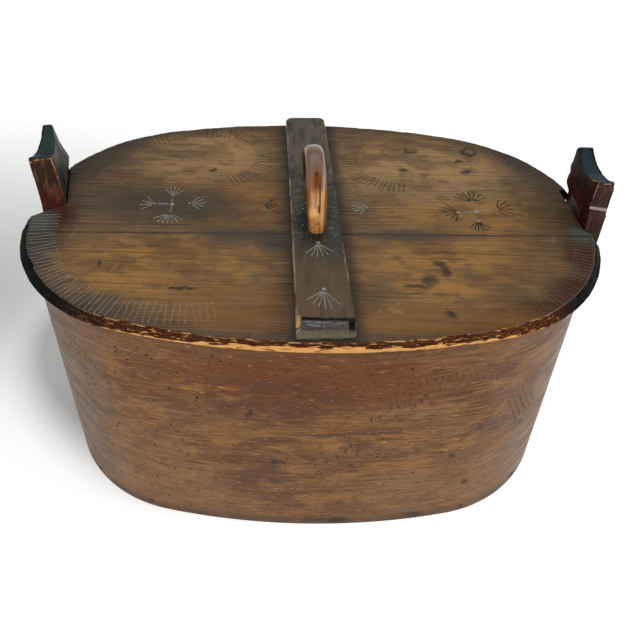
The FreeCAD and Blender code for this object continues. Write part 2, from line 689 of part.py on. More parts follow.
def wedges(name):
    """Thin wedges driven up into the tenons from below."""
    pieces = []
    for number, along in enumerate(tenon_centres(), 1):
        wedge = doc.addObject("Part::Wedge", f"{name}_{number}")
        bind(wedge, Xmin="-tenon_width / 2", Xmax="tenon_width / 2", X2min="-tenon_width / 2",
             X2max="tenon_width / 2", Ymin="0", Ymax="wedge_length", Zmin="-wedge_thick / 2",
             Zmax="wedge_thick / 2", Z2min="-wedge_tip / 2", Z2max="wedge_tip / 2")
        lay = Placement(Vector(0, along, 0), Rotation(Vector(1, 0, 0), 90))
        wedge.Placement = batten_frame("tenon_end").multiply(lay)
        pieces.append(wedge)
    return pieces


# ---------------------------------------------------------------- assembly
def build():
    """Make every node; returns them in the order they are exported."""
    nodes = []
    pegs = group("bottom_pegs", bottom_rods("bottom_peg", "0"))
    bores = bottom_rods("bottom_bore", "fit")
    post_bores = post_peg_rods("left", "play", "post_peg_play", long=True)
    post_bores += post_peg_rods("right", "play", "post_peg_play", long=True)
    band = cut("side_band", side_band(), group("band_bores", bores + post_bores),
               group("band_slots", stitch_slots()))
    bottom = cut("bottom_board", bottom_board(), group("board_bores", bottom_rods("board_bore", "fit")))
    nodes += [band, seam_lacing(), bottom, pegs]
    for side in ("left", "right"):
        blank = post_blank(side)
        seat, swing = post_tools(side)
        bore = group(f"{side}_post_bores", post_peg_rods(side, "bore", "fit", long=True))
        nodes.append(cut(f"{side}_post", blank, seat, swing, bore))
        nodes.append(group(f"{side}_post_pegs", post_peg_rods(side, "peg", "0")))
    dowels = group("lid_dowels", dowel_rods("dowel", "0"))
    for keep in ("front", "rear"):
        label = f"lid_{keep}_board"
        tools = [group(f"{keep}_dowel_bores", dowel_rods(f"{keep}_dowel_bore", "fit")),
                 group(f"{keep}_peg_bores", batten_peg_rods(f"{keep}_peg_bore", "fit")),
                 group(f"{keep}_mortises", mortises())]
        if keep == "rear":
            tools += [notch_block("left"), notch_block("right")]
        nodes.append(cut(label, lid_board(label, keep), *tools))
    nodes.append(dowels)
    nodes.append(cut("lid_batten", batten(), group("batten_bores", batten_peg_rods("batten_bore", "fit")),
                     group("batten_mortises", mortises())))
    nodes.append(group("batten_pegs", batten_peg_rods("batten_peg", "0")))
    nodes.append(cut("handle", grip(), group("kerfs", wedges("kerf"))))
    nodes.append(group("handle_wedges", wedges("wedge")))
    return nodes


def export(nodes):
    """Check the whole document, then write each node's STEP file."""
    doc.recompute()
    for thing in doc.Objects:
        if {"Invalid", "Error"} & set(thing.State):
            raise RuntimeError(f"{thing.Label} failed: {thing.State}")
    for node in nodes:
        if node.Shape.isNull() or not node.Shape.isValid() or not node.Shape.Solids:
            raise RuntimeError(f"{node.Label} has no valid solid")
    os.makedirs("parts", exist_ok=True)
    for node in nodes:
        node.Shape.exportStep(f"parts/{node.Label}.step")
        box = node.Shape.BoundBox
        print(f"{node.Label:18s} solids {len(node.Shape.Solids):3d} volume {node.Shape.Volume:11.1f} "
              f"x {box.XMin:7.1f} {box.XMax:7.1f} y {box.YMin:7.1f} {box.YMax:7.1f} "
              f"z {box.ZMin:6.1f} {box.ZMax:6.1f}")


fill_sheet()
export(build())
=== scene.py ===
# %% [markdown]
# # A Norwegian tine: an oval bentwood box with a clamped lid
#
# A tine is a food or keepsake box. One long thin board is steamed and bent into an oval, its ends
# are lapped and sewn with root, a bottom is pegged in, and two springy posts hold the lid down.
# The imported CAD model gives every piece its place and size. This lesson dresses those pieces:
# worn arrises, stamped ornament, worm holes, and wood that has been handled for a hundred years.

# %% load the frame
import functools
import math
import random

import bmesh
import bpy
import numpy as np
from mathutils import Matrix, Vector, noise


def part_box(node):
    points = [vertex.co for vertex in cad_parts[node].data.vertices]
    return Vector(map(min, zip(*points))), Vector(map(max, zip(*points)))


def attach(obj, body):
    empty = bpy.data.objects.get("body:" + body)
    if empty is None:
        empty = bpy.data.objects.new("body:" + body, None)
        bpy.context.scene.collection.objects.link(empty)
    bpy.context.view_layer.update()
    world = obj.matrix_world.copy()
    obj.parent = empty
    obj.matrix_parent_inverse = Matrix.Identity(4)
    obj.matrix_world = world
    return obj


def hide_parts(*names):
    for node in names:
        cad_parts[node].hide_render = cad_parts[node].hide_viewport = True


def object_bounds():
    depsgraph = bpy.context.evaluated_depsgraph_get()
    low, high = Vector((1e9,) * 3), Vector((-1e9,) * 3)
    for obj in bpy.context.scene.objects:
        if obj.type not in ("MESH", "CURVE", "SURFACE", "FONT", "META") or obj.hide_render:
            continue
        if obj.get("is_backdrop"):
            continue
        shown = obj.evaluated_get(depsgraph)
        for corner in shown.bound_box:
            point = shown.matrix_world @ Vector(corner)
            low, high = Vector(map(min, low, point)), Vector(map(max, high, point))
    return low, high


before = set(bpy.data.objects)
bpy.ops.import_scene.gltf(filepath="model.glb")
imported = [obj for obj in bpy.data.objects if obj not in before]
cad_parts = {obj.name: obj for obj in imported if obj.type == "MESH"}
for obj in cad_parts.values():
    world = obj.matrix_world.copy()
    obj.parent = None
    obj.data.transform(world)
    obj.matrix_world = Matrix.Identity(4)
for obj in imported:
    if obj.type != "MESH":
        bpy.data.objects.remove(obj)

cad_low, cad_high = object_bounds()
MM = 0.001
WELD = 0.01 * MM  # CAD points closer than this are one
CREASE = 34  # edges bent by more degrees than this stay sharp

# %% [markdown]
# ## Small helpers
#
# Blender works in linear light, while a colour chart gives sRGB, so one function turns hex codes
# into linear numbers. Every node tree below, for shapes or for shading, is made with one helper
# that adds a node, sets it up and links it. The others turn meshes into arrays and back.

# %% colour, node and mesh helpers
def linear(code):
    """A hex colour such as '#a06830' as linear red, green, blue and alpha."""
    parts = [int(code[i:i + 2], 16) / 255 for i in (1, 3, 5)]
    return tuple(p / 12.92 if p <= 0.04045 else ((p + 0.055) / 1.055) ** 2.4 for p in parts) + (1.0,)


def add(tree, kind, inputs=None, output=0, **settings):
    """Add a node with its settings, fill its sockets with numbers or sockets, give one output."""
    node = tree.nodes.new(kind)
    for option, choice in settings.items():
        setattr(node, option, choice)
    for socket, source in (inputs or {}).items():
        if isinstance(source, bpy.types.NodeSocket):
            tree.links.new(source, node.inputs[socket])
        else:
            node.inputs[socket].default_value = source
    return node.outputs[output] if node.outputs else node


def show(name, mesh, *materials):
    """Put a mesh into the scene as an object at the origin."""
    thing = bpy.data.objects.new(name, mesh)
    bpy.context.scene.collection.objects.link(thing)
    for material in materials:
        mesh.materials.append(material)
    return thing


def solid(name, work, *materials):
    """Turn a finished bmesh into an object."""
    mesh = bpy.data.meshes.new(name)
    work.to_mesh(mesh)
    work.free()
    return show(name, mesh, *materials)


def baked(thing):
    """The object's shape with its modifiers applied, as a new plain mesh; the modifiers go."""
    graph = bpy.context.evaluated_depsgraph_get()
    mesh = bpy.data.meshes.new_from_object(thing.evaluated_get(graph))
    old = thing.data
    thing.modifiers.clear()
    thing.data = mesh
    mesh.name = thing.name
    bpy.data.meshes.remove(old)
    return mesh


def from_cad(node):
    """A CAD node's shape with its loose triangles joined, to be worked on."""
    work = bmesh.new()
    work.from_mesh(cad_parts[node].data)
    bmesh.ops.remove_doubles(work, verts=work.verts, dist=WELD)
    return work


def per_vertex(mesh, what="co"):
    """All vertex places, or all normals, as one array."""
    values = np.empty(len(mesh.vertices) * 3)
    mesh.vertices.foreach_get(what, values)
    return values.reshape(-1, 3)


def store(mesh, name, values):
    """Keep one number or one vector per vertex as an attribute of the mesh."""
    values = np.asarray(values, np.float32)
    kind, field = ("FLOAT_VECTOR", "vector") if values.ndim > 1 else ("FLOAT", "value")
    mesh.attributes.new(name, kind, "POINT").data.foreach_set(field, values.ravel())


def move(thing, places):
    """Give a piece's vertices new places."""
    thing.data.vertices.foreach_set("co", places.ravel())


def smooth_shaded(thing):
    """Shade a piece smooth but for its sharp edges."""
    thing.data.shade_smooth()
    thing.data.set_sharp_from_angle(angle=math.radians(CREASE))


def ripple(places, size, seed, octaves=2):
    """Smooth noise between about -1 and 1 at each place; size is its grain in metres."""
    shift = Vector((seed * 7.13, seed * 3.71, seed * 5.39))
    return np.array([noise.fractal(Vector(p) / size + shift, 1.0, 2.0, octaves) for p in places])


def triangles(thing):
    return sum(len(face.vertices) - 2 for face in thing.data.polygons)

# %% [markdown]
# ## Camera
#
# The camera stands in front of the box and looks down at it, so the lid's whole outline, the front
# of the side and both end posts can be seen.

# %% camera
RIGHT, UP = Vector((0.99956, -0.00125, 0.02954)), Vector((-0.02091, 0.67672, 0.73594))
FORWARD = Vector((0.02091, 0.73624, -0.67640))
EYE = Vector((-5.1, -482.3, 544.0)) * MM
camera_data = bpy.data.cameras.new("camera")
camera_data.sensor_width = 36.0
camera_data.lens = 41.85
camera_data.clip_start = 0.01
camera = bpy.data.objects.new("camera", camera_data)
bpy.context.scene.collection.objects.link(camera)
turn = Matrix((RIGHT, UP, -FORWARD)).transposed().to_4x4()
camera.matrix_world = Matrix.Translation(EYE) @ turn
bpy.context.scene.camera = camera
print("camera at", [round(c, 3) for c in camera.location])

# %% [markdown]
# ## Old wood as a material
#
# Every piece is old softwood, rubbed with oil and darkened by smoke and hands. Its look has
# layers: growth rings seen as streaks, fine fibres, uneven stain, grime where hands don't reach,
# and paler wood where they do. Each mesh carries an attribute called grain, whose X runs along
# the wood's fibres in metres. Patterns follow the piece that way, also round a bend.
#
# A finish is painted as one paints wood: a ground first, then one glaze after another, each laid
# only where its masks are 1. A mask is written short, as a tuple: `("Z", 4, 14)` grows with a
# coordinate in mm or an attribute, `(60, 14, 0.1, 0.6)` is clouds 60 mm long and 14 mm wide along
# the grain, where the last two numbers say how much they cover, and `("here", ...)` takes them
# along the axes. `([(x, y, rx, ry, turn)], 0.6)` is soft ellipses seen from above.

# %% the wood recipe
class Wood:
    """A finish built up in layers, from the bare grain to stain, wear and grime."""

    def __init__(self, name, early, late, ring, warp, length, fibre, seed, fibres=None, ragged=(9, 9)):
        self.material = bpy.data.materials.new(name)
        self.material.use_nodes = True
        self.tree = self.material.node_tree
        self.tree.nodes.clear()
        self.seed = seed
        place = self.put("ShaderNodeTexCoord", output="Object")
        self.here = self.put("ShaderNodeVectorMath", {0: place, "Scale": 1000.0}, operation="SCALE")
        if fibres is None:
            grain = self.put("ShaderNodeAttribute", output="Vector", attribute_name="grain")
            self.along = self.put("ShaderNodeVectorMath", {0: grain, "Scale": 1000.0}, operation="SCALE")
        else:
            self.along = self.put("ShaderNodeMapping", {"Vector": self.here, "Rotation": fibres})
        wander = self.put("ShaderNodeMath", {0: self.noise(150, 55, 1.0), 1: -0.5}, operation="ADD")
        shift = self.put("ShaderNodeVectorMath", {0: (0.0, warp, 0.4 * warp), "Scale": wander},
                         operation="SCALE")
        self.along = self.put("ShaderNodeVectorMath", {0: self.along, 1: shift}, operation="ADD")
        # a place shaken a little, so that ellipses and rims get ragged borders
        shaken = self.put("ShaderNodeTexNoise", {"Vector": self.here, "Scale": 1 / ragged[0],
                                                 "Detail": 3.0}, "Color")
        centred = self.put("ShaderNodeVectorMath", {0: shaken, 1: (-0.5, -0.5, -0.5)}, operation="ADD")
        self.ragged = self.sheet = self.put("ShaderNodeVectorMath",
                                            {0: centred, 1: (ragged[1],) * 3, 2: self.here},
                                            operation="MULTIPLY_ADD")
        rings = self.past(self.noise(length, ring, 6.0, rough=0.68), 0.38, 0.64)
        self.colour = self.put("ShaderNodeMix", {0: rings, 6: linear(early), 7: linear(late)}, 2,
                               data_type="RGBA")
        threads = self.noise(26, 0.9, 3.0, rough=0.6)
        shade = self.past(threads, 0.28, 0.72, 1.0 - fibre, 1.0 + fibre)
        self.colour = self.put("ShaderNodeVectorMath", {0: self.colour, "Scale": shade}, operation="SCALE")
        self.height = self.put("ShaderNodeMath", {0: rings, 1: -0.8, 2: threads}, operation="MULTIPLY_ADD")

    def put(self, kind, inputs=None, output=0, **settings):
        return add(self.tree, kind, inputs, output, **settings)

    def noise(self, along, across, detail, rough=0.5, where=None):
        """Noise whose grains are so many millimetres long and wide."""
        self.seed += 11.7
        place = self.put("ShaderNodeMapping", {"Vector": where or self.along,
                                               "Location": (self.seed, self.seed * 0.7, 0.0),
                                               "Scale": (1 / along, 1 / across, 1 / across)})
        return self.put("ShaderNodeTexNoise", {"Vector": place, "Scale": 1.0, "Detail": detail,
                                               "Roughness": rough})

    def past(self, measure, low, high, start=0.0, end=1.0):
        """A mask that grows as a measure goes from low to high: a socket, an axis or an attribute."""
        if isinstance(measure, str) and measure in "XYZ":
            measure = self.put("ShaderNodeSeparateXYZ", {0: self.here}, "XYZ".index(measure))
        elif isinstance(measure, str):
            measure = self.put("ShaderNodeAttribute", {}, "Fac", attribute_name=measure)
        return self.put("ShaderNodeMapRange", {0: measure, 1: low, 2: high, 3: start, 4: end},
                        interpolation_type="SMOOTHSTEP")

    def patchy(self, along, across, low, high, detail=3.0, where=None):
        """A mask in clouds or streaks of a real size; the higher low and high, the fewer."""
        return self.past(self.noise(along, across, detail, where=where), low, high)

    def spots(self, places, soft):
        """1 inside any of some ellipses, given as x, y, two radii and a turn, fading to 0 outside."""
        mask = None
        for x, y, rx, ry, turned in places:
            place = self.put("ShaderNodeMapping",
                             {"Vector": self.sheet, "Location": (x, y, 0.0),
                              "Rotation": (0.0, 0.0, math.radians(turned)), "Scale": (rx, ry, 1e5)},
                             vector_type="TEXTURE")
            reach = self.put("ShaderNodeVectorMath", {0: place}, "Value", operation="LENGTH")
            one = self.past(reach, 1 + soft, 1 - soft)
            mask = one if mask is None else self.put("ShaderNodeMath", {0: mask, 1: one},
                                                     operation="MAXIMUM")
        return mask

    def mask(self, short):
        """A mask from its short form; a socket stays as it is."""
        if not isinstance(short, tuple):
            return short
        if isinstance(short[0], list):
            return self.spots(*short)
        if short[0] == "here":
            return self.patchy(*short[1:], where=self.here)
        return self.past(*short) if isinstance(short[0], str) else self.patchy(*short)

    def lay(self, code, share, *masks):
        """Lay a colour over what is there, as strong as share, where all masks are 1."""
        strength = share
        for mask in [self.mask(short) for short in masks]:
            strength = self.put("ShaderNodeMath", {0: mask, 1: strength}, operation="MULTIPLY")
        self.colour = self.put("ShaderNodeMix", {0: strength, 6: self.colour, 7: linear(code)}, 2,
                               data_type="RGBA")

    def done(self, smooth, dull, bump=0.02, shine=0.3):
        """Close the finish: gloss follows the fibres, and the grain stands up by so many mm."""
        matt = self.past(self.noise(30, 8, 3.0), 0.3, 0.7, smooth, dull)
        relief = self.put("ShaderNodeBump", {"Height": self.height, "Distance": bump * MM, "Strength": 1.0})
        surface = self.put("ShaderNodeBsdfPrincipled", {"Base Color": self.colour, "Roughness": matt,
                                                        "Normal": relief, "IOR": 1.48,
                                                        "Specular IOR Level": shine})
        self.put("ShaderNodeOutputMaterial", {0: surface})
        return self.material


def grain_by(thing, along, across, through=(0.0, 0.0, 1.0)):
    """Store the grain coordinates of a straight piece: its places measured along three directions."""
    store(thing.data, "grain", per_vertex(thing.data) @ np.array([along, across, through], float).T)


def mark_edges(thing, radius, spread=3):
    """Store where the surface is bent outward (arris) or inward (nook): for wear and painted glints on the
    arrises, and for grime with painted shade in the nooks.
    """
    mesh = thing.data
    count = len(mesh.vertices)
    ends = np.empty(len(mesh.edges) * 2, int)
    mesh.edges.foreach_get("vertices", ends)
    first, second = ends[::2], ends[1::2]
    near = np.maximum(np.bincount(first, minlength=count) + np.bincount(second, minlength=count), 1)

    def around(one, two):
        return (np.bincount(first, one, count) + np.bincount(second, two, count)) / near

    places = per_vertex(mesh)
    pull = np.stack([around(places[second, i], places[first, i]) for i in range(3)], 1) - places
    length = np.linalg.norm(places[first] - places[second], axis=1)
    step = around(length, length)
    bend = -(pull * per_vertex(mesh, "normal")).sum(1) / np.maximum(step, 1e-6) ** 2 * 4 * radius
    for _ in range(spread):
        bend = 0.4 * bend + 0.6 * around(bend[second], bend[first])
    store(mesh, "arris", np.clip(bend, 0, 1))
    store(mesh, "nook", np.clip(-bend, 0, 1))

# %% [markdown]
# ## The lid boards
#
# The lid is two planed boards, dowelled edge to edge. Their outline is cut by knife: it flares out
# at the ends and has a notch for each post. The outline comes from the CAD boards' own flat faces.
# A skin of rows is laid round it, from the underside over the edge to the top, so that the arris
# can be worn and chipped, and both flat faces are closed with one face each, ready for the stamps.

# %% outlines from the CAD boards
LID_LOW, LID_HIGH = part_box("lid_rear_board")[0].z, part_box("lid_rear_board")[1].z
CORNER = 24.0  # an outline that bends by more degrees than this has a corner


def flat_loop(node, height):
    """The outer outline of a CAD node's flat face at one height, counter-clockwise, as x and y."""
    work = from_cad(node)
    level = {f for f in work.faces if all(abs(v.co.z - height) < 0.02 * MM for v in f.verts)}
    after = {}
    for face in level:
        for loop in face.loops:
            if not any(other in level for other in loop.edge.link_faces if other is not face):
                after[loop.vert] = loop.link_loop_next.vert
    best = []
    while after:
        start, here = next(iter(after.items()))
        ring = [start]
        del after[start]
        while here is not start and here in after:
            ring.append(here)
            here = after.pop(here)
        best = max(best, ring, key=len)
    points = np.array([v.co.xy for v in best])
    work.free()
    x, y = points.T
    area = (x * np.roll(y, -1) - np.roll(x, -1) * y).sum()
    return points if area > 0 else points[::-1]


def sides_of(points, anchor, twice):
    """Cut a closed outline at its corners, from the one nearest the anchor; one may count twice."""
    ahead = np.roll(points, -1, 0) - points
    behind = points - np.roll(points, 1, 0)
    bend = np.degrees(np.arctan2(behind[:, 0] * ahead[:, 1] - behind[:, 1] * ahead[:, 0],
                                 (behind * ahead).sum(1)))
    corners = [i for i in range(len(points)) if abs(bend[i]) > CORNER]
    first = min(corners, key=lambda i: np.hypot(*(points[i] - anchor)))
    corners = [c for c in corners if c >= first] + [c + len(points) for c in corners if c < first]
    corners.append(corners[0] + len(points))
    if twice is not None:
        corners.insert(twice, corners[twice])
    doubled = np.vstack([points, points])
    return [doubled[a:b + 1] for a, b in zip(corners, corners[1:])]


def spaced(points, count):
    """A polyline's points again, count of them at even spacing, without the last."""
    run = np.concatenate([[0], np.cumsum(np.hypot(*np.diff(points, axis=0).T))])
    where = np.linspace(0, run[-1], count + 1)[:-1]
    return np.stack([np.interp(where, run, points[:, i]) for i in range(2)], 1)


def inward(points):
    """The inward direction at each point of a counter-clockwise outline, mitred at corners."""
    count = len(points)
    turned = np.empty_like(points)
    for i in range(count):
        before = next(k for k in range(1, count) if np.hypot(*(points[i] - points[i - k])) > 1e-5)
        after = next(k for k in range(1, count)
                     if np.hypot(*(points[(i + k) % count] - points[i])) > 1e-5)
        one = points[i] - points[i - before]
        two = points[(i + after) % count] - points[i]
        one, two = one / np.hypot(*one), two / np.hypot(*two)
        middle = (one + two) / max(np.hypot(*(one + two)), 1e-6)
        mitre = 1 / max(middle @ one, 0.6)
        turned[i] = (-middle[1] * mitre, middle[0] * mitre)
    return turned


def unfolded(row, outline):
    """Where a row, moved inward, has folded back at a corner, draw its points together."""
    ahead = np.roll(outline, -1, 0) - outline
    for _ in range(60):
        step = np.roll(row, -1, 0) - row
        back = np.flatnonzero(((step * ahead).sum(1) < 0) & (np.hypot(*step.T) > 0.004 * MM))
        if not len(back):
            break
        for i in back:
            k = (i + 1) % len(row)
            row[i] = row[k] = (row[i] + row[k]) / 2
    return row

# %% [markdown]
# The two flat faces don't have the same corners: at the underside the right notch opens exactly
# where the boards meet, and on top the left notch ends on the outline. That corner then counts
# twice, so each side of the underside still has its partner above.
#
# A board's skin is a list of rows. Each row is the outline at some height, moved inward a little.
# Where the front edge is chipped, the upper rows step back and leave a ragged ledge below them.

# %% a board from its rows
STEP = 1.7 * MM  # between the points of a row
FIELD = 0.0131  # the flat faces are cut into fields this wide, in metres
OUTER, JOINT, NOTCH = 0, 1, 2


def lid_board(node, kinds, anchor, twice):
    """The worn skin of a lid board; kinds says what each side of its outline is, from the anchor."""
    low = sides_of(flat_loop(node, LID_LOW), anchor, twice[0])
    high = sides_of(flat_loop(node, LID_HIGH), anchor, twice[1])
    below, above, kind = [], [], []
    for one, two, what in zip(low, high, kinds):
        length = max(np.hypot(*np.diff(side, axis=0).T).sum() for side in (one, two))
        count = max(2, round(length / STEP))
        below.append(spaced(one, count))
        above.append(spaced(two, count))
        kind += [what] * count
    below, above, kind = np.vstack(below), np.vstack(above), np.array(kind)
    lean_low, lean_high = inward(below), inward(above)
    outer = (kind == OUTER).astype(float)
    ground = np.column_stack([above, np.zeros(len(above))])
    uneven, fine = ripple(ground, 24 * MM, 3), ripple(ground, 5 * MM, 4, 3)
    # along the front the edge has lost its upper arris
    x, y = above.T
    broken = (np.clip((-y - 98 * MM) / (20 * MM), 0, 1)
              * np.clip(1.15 - np.abs(x - 5 * MM) / (165 * MM), 0, 1) * outer)
    round_off = np.select([kind == JOINT, kind == NOTCH], [0.35, 0.8],
                          1.3 + 0.5 * uneven + 0.4 * fine + broken * (0.3 + 0.8 * np.abs(fine)))
    round_off = np.maximum(round_off, 0.3) * MM
    loose = outer * (0.35 * uneven + 0.15 * fine) * MM
    step_back = broken * (1.1 + 0.6 * fine) * MM
    height = LID_HIGH - LID_LOW
    # a row is its share of the way up, how far in it lies, and how high it stands
    rows = [(0, 0.5 * MM + loose, 0 * loose), (0, loose, 0 * loose + 0.5 * MM)]
    for share in (0.14, 0.26, 0.36):
        rows.append((share, loose + 0.1 * MM * fine, share * height + broken * fine * 0.4 * MM))
    for share in (0.46, 0.6, 0.72):
        rows.append((share, loose + step_back, share * height + broken * fine * 0.6 * MM))
    for turn in (0, math.radians(30), math.radians(60), math.radians(90)):
        rows.append((1, loose + step_back + round_off * (1 - math.cos(turn)),
                     height - round_off * (1 - math.sin(turn))))
    work = bmesh.new()
    grid = []
    for share, inset, rise in rows:
        base = below + (above - below) * share
        flat = unfolded(base + (lean_low + (lean_high - lean_low) * share) * inset[:, None], base)
        grid.append([work.verts.new((x, y, LID_LOW + z)) for (x, y), z in zip(flat, rise)])
    for one, two in zip(grid, grid[1:]):
        for i in range(len(one)):
            work.faces.new((one[i - 1], one[i], two[i], two[i - 1]))
    work.faces.new(grid[-1])
    work.faces.new(grid[0][::-1])
    bmesh.ops.remove_doubles(work, verts=work.verts, dist=0.02 * MM)
    # no face should have to hold hundreds of pits
    for way, reach in (((1, 0, 0), 0.22), ((0, 1, 0), 0.14)):
        for step in np.arange(-reach, reach, FIELD):
            bmesh.ops.bisect_plane(work, geom=work.verts[:] + work.edges[:] + work.faces[:],
                                   plane_co=Vector(way) * step, plane_no=way)
    print(node, "outline points", len(kind), "rows", len(rows), "vertices", len(work.verts))
    return solid(node + "_worn", work)


rear_board = lid_board("lid_rear_board", [OUTER, JOINT, OUTER] + [NOTCH] * 3 + [OUTER] + [NOTCH] * 3,
                       np.array([-0.2212, -0.0151]), (2, 7))
front_board = lid_board("lid_front_board", [OUTER, JOINT], np.array([-0.2188, -0.0306]), (None, None))
boards = (rear_board, front_board)

# %% [markdown]
# ## The lid's finish
#
# The boards are pine, oiled and handled. Inside each wreath the wood has been wiped and glows
# golden; outside, smoke and dirt have turned it grey-brown, most at the lobes. Beside the batten
# it is dark with grime and with painted shade. Knots, dark streaks and the ragged raw edge at the
# front are laid on by place.

# %% oiled pine for the lid
EDGE_WEAR = [("X", -185, -165), ("X", 200, 180), (10, 3.0, 0.5, 0.6)]


def lid_finish():
    wood = Wood("oiled_pine_lid", "#8e6d47", "#664d31", ring=2.1, warp=9.0, length=260, fibre=0.36,
                seed=2)
    lay, put = wood.lay, wood.put
    # wiped, golden fields inside the wreaths
    fields = [(-108, -70, 72, 36, 3), (-96, 82, 52, 40, 0), (98, -62, 66, 40, 0),
              (88, 78, 62, 44, 0), (118, 8, 54, 26, 0), (-52, 12, 26, 34, 0)]
    lay("#b17f3f", 0.85, (fields, 0.5), (60, 14, 0.1, 0.6))
    lay("#b59b72", 0.48, ([(90, 70, 76, 50, 0), (-92, 84, 56, 38, 0)], 0.6))
    # streaks of late wood, clouds of dirt, and specks where the oil has caught dust
    lay("#5d4a35", 0.45, (14, 8, 0.5, 0.64, 5.0))
    lay("#b08a58", 0.4, (14, 1.6, 0.6, 0.67, 5.0))
    lay("#5e4930", 0.5, (34, 22, 0.48, 0.62, 6.0))
    lay("#3d2a17", 0.55, (110, 0.7, 0.55, 0.64, 2.0))
    lay("#4c4036", 0.45, ("here", 75, 38, 0.45, 0.75))
    # the smoke-dark rim: a rounded oblong's distance from the middle, from sums of powers
    flat = put("ShaderNodeVectorMath", {0: wood.ragged, 1: (1 / 217, 1 / 146, 0.0)}, operation="MULTIPLY")
    flat = put("ShaderNodeVectorMath", {0: flat}, operation="ABSOLUTE")
    flat = put("ShaderNodeVectorMath", {0: flat, 1: (2.7, 2.7, 1.0)}, operation="POWER")
    flat = put("ShaderNodeVectorMath", {0: flat, 1: (1, 1, 0)}, "Value", operation="DOT_PRODUCT")
    lay("#3b322b", 0.75, wood.past(flat, 0.58, 1.0))
    lay("#453c32", 0.75, ([(-116, 10, 70, 24, 0)], 0.7))
    lobes = [(-206, -24, 26, 52, -8), (207, -38, 20, 34, 8), (-186, 78, 30, 56, -38),
             (196, 74, 26, 60, 42)]
    lay("#3a3531", 0.6, (lobes, 0.5))
    stains = [(150, -114, 54, 15, 18), (-192, -6, 12, 14, 0), (184, -86, 22, 15, 40),
              (203, -52, 14, 24, 8)]
    lay("#452416", 0.85, (stains, 0.6))
    lay("#5c6462", 0.5, ([(-207, -16, 10, 17, -4), (208, -18, 9, 8, 0)], 0.7))
    # the strip before the wreaths is rubbed warm by sleeves and hands
    strip = [(-54, -110, 44, 21, 3), (76, -119, 62, 14, 3), (122, -117, 34, 9, 12)]
    lay("#93632c", 0.66, (strip, 0.6), (50, 6, 0.2, 0.55))
    # grime and painted shade in a band beside the batten, and a dark line along the joint of the boards
    turned = put("ShaderNodeMapping", {"Vector": wood.ragged, "Location": (2, 0, 0),
                                       "Rotation": (0, 0, math.radians(3.6))}, vector_type="TEXTURE")
    away = put("ShaderNodeVectorMath", {0: turned}, operation="ABSOLUTE")
    lay("#332d25", 0.75, wood.past(put("ShaderNodeSeparateXYZ", {0: away}), 31, 18.5))
    joint = put("ShaderNodeVectorMath", {0: wood.here, 1: (-0.0244, 1, 0)}, "Value",
                operation="DOT_PRODUCT")
    lay("#2c241d", 0.7, put("ShaderNodeMath", {0: joint, 1: -25.2, 2: 0.9}, operation="COMPARE"))
    lay("#4a443a", 0.75, ([(-55, -28, 30, 10, 6), (70, -24, 34, 8, 0), (-28, -38, 12, 12, 0)], 0.6))
    knots = [(-84, 62, 4.5, 2.2, 10), (-151, -67, 1.3, 4.5, 6), (85, 99, 6, 2.2, 10),
             (81, 104, 1.6, 4, 20), (76, 69, 3, 2.6, 0), (129, 69, 5, 2.8, 12), (126, 86, 3.4, 3, 0),
             (92, -58, 5.5, 3.8, -40), (96, -67, 3.4, 7, 8), (82, -77, 6, 6, 0), (73, -85, 9, 2.0, 0),
             (-95, -92, 3, 2, 20), (93, -113, 3.4, 4, 10), (-89, -92, 8, 2.2, 1)]
    lay("#2c2722", 0.78, (knots, 0.55))
    # a dark ring round a fallen knot: a wide spot without its middle
    ring = wood.spots([(137, 103, 7.6, 8.6, 0)], 0.25)
    lay("#26231f", 0.8, ring, wood.past(wood.spots([(138, 104, 4.2, 4.4, 0)], 0.4), 1.0, 0.0))
    pale = [(57, -110, 4.2, 1.9, -20), (44, -111, 1.4, 1.2, 0), (-178, -30, 0.8, 5, -14),
            (-139, -70, 0.7, 6, -12), (-157, 37, 0.6, 3, 25), (120, 50, 5, 16, 24)]
    lay("#b08d63", 0.4, (pale, 0.6))
    lay("#a98b66", 0.28, ("here", 34, 0.9, 0.72, 0.78, 1.0))
    # the edge faces are coloured nearly black, dark red-brown along the front, and along the front the
    # arris is chipped pale
    side, front = wood.past("Z", 211.2, 209.6), wood.past("Y", -100, -122)
    lay("#090a0a", 0.98, side)
    lay("#3e1b0f", 0.9, side, front, ("X", 194, 178), ("X", -184, -168))
    lay("#d2a36b", 0.8, ("arris", 0.1, 0.5), ("Z", 211.95, 211.5), front, *EDGE_WEAR)
    return wood.done(0.34, 0.55, bump=0.04, shine=0.26)


